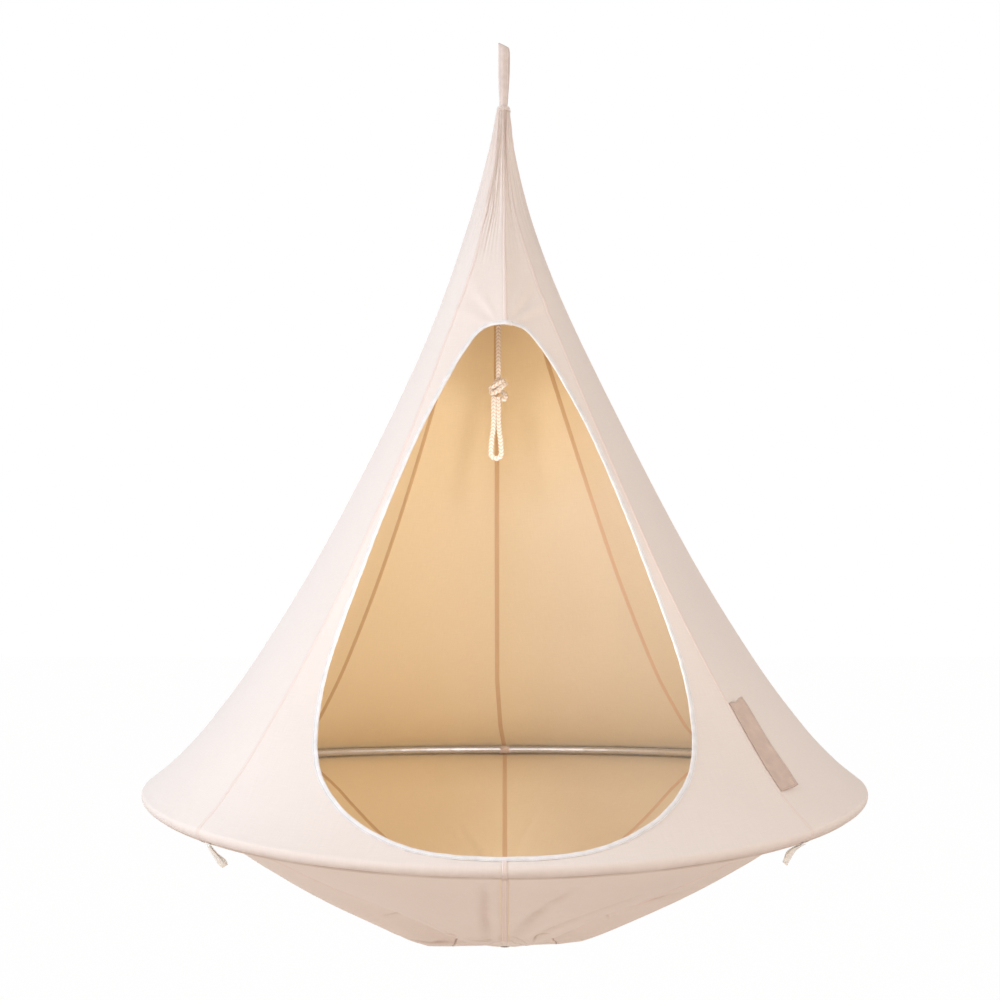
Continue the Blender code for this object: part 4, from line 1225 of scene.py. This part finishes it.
EYELET = (
    (0.0075, 0.0044), (0.0075, -0.0003), (0.0140, -0.0003), (0.0149, -0.0010), (0.0150, -0.0019),
    (0.0143, -0.0030), (0.0128, -0.0037), (0.0108, -0.0040), (0.0085, -0.0039), (0.0068, -0.0035),
    (0.0058, -0.0026), (0.0055, -0.0014), (0.0055, 0.0044), (0.0058, 0.0048), (0.0070, 0.0048),
)
WASHER = (
    (0.0079, 0.0016), (0.0148, 0.0016), (0.0150, 0.0019), (0.0147, 0.0024), (0.0141, 0.0027),
    (0.0090, 0.0029), (0.0082, 0.0027), (0.0079, 0.0024),
)
eyelet = turned("drain_eyelet_ring", EYELET)
washer = turned("eyelet_washer_ring", WASHER)
stand_in(eyelet, "tent", "drain_eyelet")
stand_in(washer, "tent", "eyelet_washer")
print("Eyelet", len(eyelet.data.polygons), "faces")

# %% [markdown]
# ## The ring's tabs
# The ring is held by a short sleeve of cloth at each seam, with its edges turned under.

# %% Ring tabs
SIDES = ("front", "front_right", "right", "back_right", "back", "back_left", "left", "front_left")
TAB_SECTION = (
    (-0.0122, 0.01075), (-0.0125, 0.0113), (-0.0120, 0.01175), (-0.0108, 0.01165),
    (-0.0098, 0.01135), (-0.0060, 0.01145), (0, 0.0115), (0.0060, 0.01145), (0.0098, 0.01135),
    (0.0108, 0.01165), (0.0120, 0.01175), (0.0125, 0.0113), (0.0122, 0.01075), (0, 0.0107),
)
TAB_WIDTH, TAB_LENGTH, TAB_RADIUS, TAB_SIDES = 0.025, 0.072, 0.0115, 48
beside, reach = np.array(TAB_SECTION).T
turn = np.arange(TAB_SIDES + 1)[:, None] * math.tau / TAB_SIDES
along, across = turn * TAB_RADIUS, np.append(beside, beside[0])
maps = {"weave": map_of(across, along), "seam": map_of(TAB_WIDTH / 2 - np.abs(across), along)}
for number, side in enumerate(SIDES):
    azimuth = number * PANEL + np.degrees(beside / RING_RADIUS)[None]
    out = reach + 0.00025 * np.sin(turn * 3 + number) * (reach > 0.011)
    height = out * np.sin(turn) + ring_dip(azimuth)
    rows = polar(RING_RADIUS + out * np.cos(turn), azimuth, height)
    tab = hoop(f"ring_tab_{side}_sleeve", rows[:-1], [webbing], maps)
    stand_in(tab, "tent", f"ring_tab_{side}")
print("Tabs made")

# %% [markdown]
# ## The tie loops
# Short loops of tape hang under the rim at four seams. Each leans in under the base, twists a
# little and opens at its end, as soft tape does.

# %% Tie loops
TIES = (
    ("front_right", 43.6, -70, 0.0075), ("back_right", 135, 35, 0.004),
    ("back_left", 225, -40, -0.004), ("front_left", 316.9, 55, -0.002),
)
TIE_WIDTH, TIE_THICKNESS, TIE_LENGTH, TIE_LEAN = 0.010, 0.0012, 0.056, 42
OPENING_HALF, OPENING_DROP, OPENING_HEIGHT = 0.0052, 0.0058, -0.0495
TIE_SECTION = (
    (-1, -0.6), (-1, 0.6), (-0.9, 1), (0, 1), (0.9, 1),
    (1, 0.6), (1, -0.6), (0.9, -1), (0, -1), (-0.9, -1),
)
legs = [(-0.0014, 0.0), (-0.0014, -0.014), (-0.0019, -0.028), (-0.0042, -0.040), (-0.0056, -0.049)]
opening = [
    (OPENING_HALF * math.sin(a), OPENING_HEIGHT - OPENING_DROP * math.cos(a))
    for a in map(math.radians, (-60, -30, 0, 30, 60))
]
whole = legs + opening + [(-y, z) for y, z in legs[::-1]]
line, along = even_line(smooth_line(whole, 6), 0.0014)
outward = square_to(line)
section = np.array(TIE_SECTION) * (TIE_WIDTH / 2, TIE_THICKNESS / 2)
across, off = section[:, 0] + 0 * line[:, :1], section[:, 1]
y, z = line[:, :1] + outward[:, :1] * off, line[:, 1:] + outward[:, 1:] * off
depth = np.clip(-z / TIE_LENGTH, 0, 1)
for side, azimuth, twist, curl in TIES:
    angle = np.radians(twist) * depth**1.3
    turned_x = across * np.cos(angle) - y * np.sin(angle)
    turned_y = across * np.sin(angle) + y * np.cos(angle) + curl * np.sin(depth * math.pi * 0.9)
    root = Vector(polar(0.757, azimuth, float(ring_dip(azimuth)) - 0.0145))
    lean = Matrix.Rotation(math.radians(TIE_LEAN), 4, "X")
    facing = Matrix.Rotation(math.radians(azimuth), 4, "Z")
    stand = np.array(Matrix.Translation(root) @ facing @ lean)
    points = np.stack([turned_x, turned_y, z], -1) @ stand[:3, :3].T + stand[:3, 3]
    tie = band(f"tie_loop_{side}_tape", points, along, tie_tape, section[:, 0] + 0.02)
    stand_in(tie, f"tie_{side}", f"tie_loop_{side}")
print("Each tie loop is", round(float(along[-1]), 3), "m of tape")

# %% [markdown]
# ## The flap
# A strip of taupe cloth is sewn into the front right seam. It carries nothing here. Its
# free edges are hemmed, and its lower end curls away from the cover.

# %% Flap
FLAP_TOP, FLAP_BOTTOM, FLAP_STAND = 0.211, 0.064, math.radians(24)
FLAP_WIDTH, FLAP_LENGTH, FLAP_HALF_THICKNESS = 0.042, 0.190, 0.0005
FLAP_ROWS, FLAP_COLUMNS = 60, 26
down = np.linspace(0, 1, FLAP_ROWS)[:, None]
over = np.linspace(0, 1, FLAP_COLUMNS)[None]
level = FLAP_TOP + (FLAP_BOTTOM - FLAP_TOP) * down + 0 * over
bend = 2 * FLAP_STAND * (0.75 + 0.25 * down)
turn = PANEL + 0.4 + np.degrees(FLAP_WIDTH * np.sin(bend * over) / bend / cover_radius(level))
level = level + 0.0018 * np.sin(over * 9) * (1 - ease(down, 0, 0.1))
level = level - 0.003 * over * ease(down, 0.9, 1)
surface = cover_at(level, turn)
out = unit(np.cross(np.gradient(surface, axis=0), np.gradient(surface, axis=1)))
out *= np.sign((out * surface)[..., :2].sum(-1))[..., None]
curl = 0.0032 * ease(down, 0.84, 1) * np.sin(over * 6.2 - 0.6)
lift = 0.0012 + FLAP_WIDTH * (1 - np.cos(bend * over)) / bend + curl * ease(over, 0, 0.2)
lift = lift + 0.0006 * np.sin(down * 9) * over
edge_near = np.minimum(np.minimum(down, 1 - down) * FLAP_LENGTH, (1 - over) * FLAP_WIDTH)
hemmed = 0.0004 * (1 - ease(edge_near, 0.0045, 0.0056))
weave = map_of(over * FLAP_WIDTH, down * FLAP_LENGTH)
seam = map_of(edge_near, down * FLAP_LENGTH + over * FLAP_WIDTH)
flap = two_walls(
    "label_flap_cloth",
    surface + out * (lift + FLAP_HALF_THICKNESS + hemmed)[..., None],
    surface + out * (lift - FLAP_HALF_THICKNESS - hemmed * 0.5)[..., None],
    [flap_weave], {"weave": (weave, weave), "seam": (seam, seam)},
)
stand_in(flap, "flap", "label_flap")
print("Flap", FLAP_WIDTH, "by", FLAP_LENGTH, "m")

# %% [markdown]
# ## Light and room
# Two soft lights stand in front, left and right, a larger one stands far out on each side and a
# weak one near the floor. Daylight comes through real canvas, and three lamps inside the tent
# stand for it. The room behind is white paper. The floor and the sky count as white for the
# camera and for gloss, so the background is clean while the floor keeps a trace of the shadow.

# %% Floor, world and lamps
FLOOR, PAPER_WHITE, SKY_STRENGTH = -2.95, 0.988, 0.45


def white_for_the_camera(tree, lit, share):
    """Mixes plain white into a shader for rays from the camera and from gloss."""
    path = tree.nodes.new("ShaderNodeLightPath")
    plain = tree.nodes.new("ShaderNodeEmission" if share < 1 else "ShaderNodeBackground")
    plain.inputs["Strength"].default_value = 1.0
    plain.inputs["Color"].default_value = (1, 1, 1, 1)
    seen, part = (tree.nodes.new("ShaderNodeMath") for _ in range(2))
    seen.operation, part.operation = "MAXIMUM", "MULTIPLY"
    part.inputs[1].default_value = share
    mix = tree.nodes.new("ShaderNodeMixShader")
    for output, place in (
        (path.outputs["Is Camera Ray"], seen.inputs[0]),
        (path.outputs["Is Glossy Ray"], seen.inputs[1]),
        (seen.outputs[0], part.inputs[0]),
        (part.outputs[0], mix.inputs[0]),
        (lit.outputs[0], mix.inputs[1]),
        (plain.outputs[0], mix.inputs[2]),
    ):
        tree.links.new(output, place)
    return mix


deselect()
bpy.ops.mesh.primitive_plane_add(size=60, location=(0, 0, FLOOR))
floor = bpy.context.object
floor.name = "studio_floor"
paper = bpy.data.materials.new("white_paper")
paper.use_nodes = True
paper_shader = paper.node_tree.nodes["Principled BSDF"]
paper_shader.inputs["Base Color"].default_value = (0.92, 0.80, 0.70, 1)
paper_shader.inputs["Roughness"].default_value = 0.95
mixed = white_for_the_camera(paper.node_tree, paper_shader, PAPER_WHITE)
out = paper.node_tree.nodes["Material Output"]
paper.node_tree.links.new(mixed.outputs[0], out.inputs["Surface"])
floor.data.materials.append(paper)

world = bpy.data.worlds.new("white_room")
bpy.context.scene.world = world
world.use_nodes = True
sky = world.node_tree.nodes["Background"]
sky.inputs["Color"].default_value = (1.0, 0.985, 0.97, 1)
sky.inputs["Strength"].default_value = SKY_STRENGTH
mixed = white_for_the_camera(world.node_tree, sky, 1.0)
world.node_tree.links.new(mixed.outputs[0], world.node_tree.nodes["World Output"].inputs["Surface"])


LAMPS = (
    ("left_softbox", (-1.5, -4.2, 0.3), (0, 0, -2.1), 0.9, 34, (1.0, 1.0, 0.98)),
    ("right_softbox", (1.4, -4.2, 0.3), (0, 0, -2.1), 0.9, 41, (1.0, 0.98, 0.96)),
    ("side_softbox", (-4.0, -1.2, 0.2), (0, 0, -1.1), 2.0, 104, (0.84, 1.0, 1.18)),
    ("low_softbox", (-1.6, -3.2, -2.6), (0, 0, -1.95), 0.6, 5, (1.0, 0.95, 0.90)),
    ("door_fill", (0, -0.50, -1.36), (0, 0.35, -1.33), 0.50, 1.58, (1.0, 0.95, 0.93)),
    ("base_glow", (0, 0.10, -1.80), (0, 0.10, -1.0), 0.60, 0.7, (1.0, 0.95, 0.92)),
    ("tip_fill", (0, -0.20, -1.00), (0, 0.30, -0.90), 0.24, 0.26, (1.0, 0.95, 0.88)),
    ("far_softbox", (4.2, -0.8, 0.0), (0, 0, -1.1), 2.0, 42, (1.0, 0.96, 0.92)),
)
INSIDE_LAMPS = ("door_fill", "base_glow", "tip_fill")
DOOR_FILL_HEIGHT = 0.56
for name, place, target, size, power, colour in LAMPS:
    deselect()
    bpy.ops.object.light_add(type="AREA", location=place)
    lamp = bpy.context.object
    lamp.name = name
    lamp.data.shape, lamp.data.size = "DISK", size
    lamp.data.energy, lamp.data.color = power, colour
    aim = Vector(target) - Vector(place)
    lamp.rotation_euler = aim.to_track_quat("-Z", "Y").to_euler()
    if name in INSIDE_LAMPS:
        lamp.visible_camera = lamp.visible_glossy = False
    if name == "door_fill":
        lamp.data.shape, lamp.data.size_y = "ELLIPSE", DOOR_FILL_HEIGHT
bpy.context.scene.view_settings.view_transform = "Standard"
print("Lamps:", len(LAMPS), "of which inside the tent:", len(INSIDE_LAMPS))
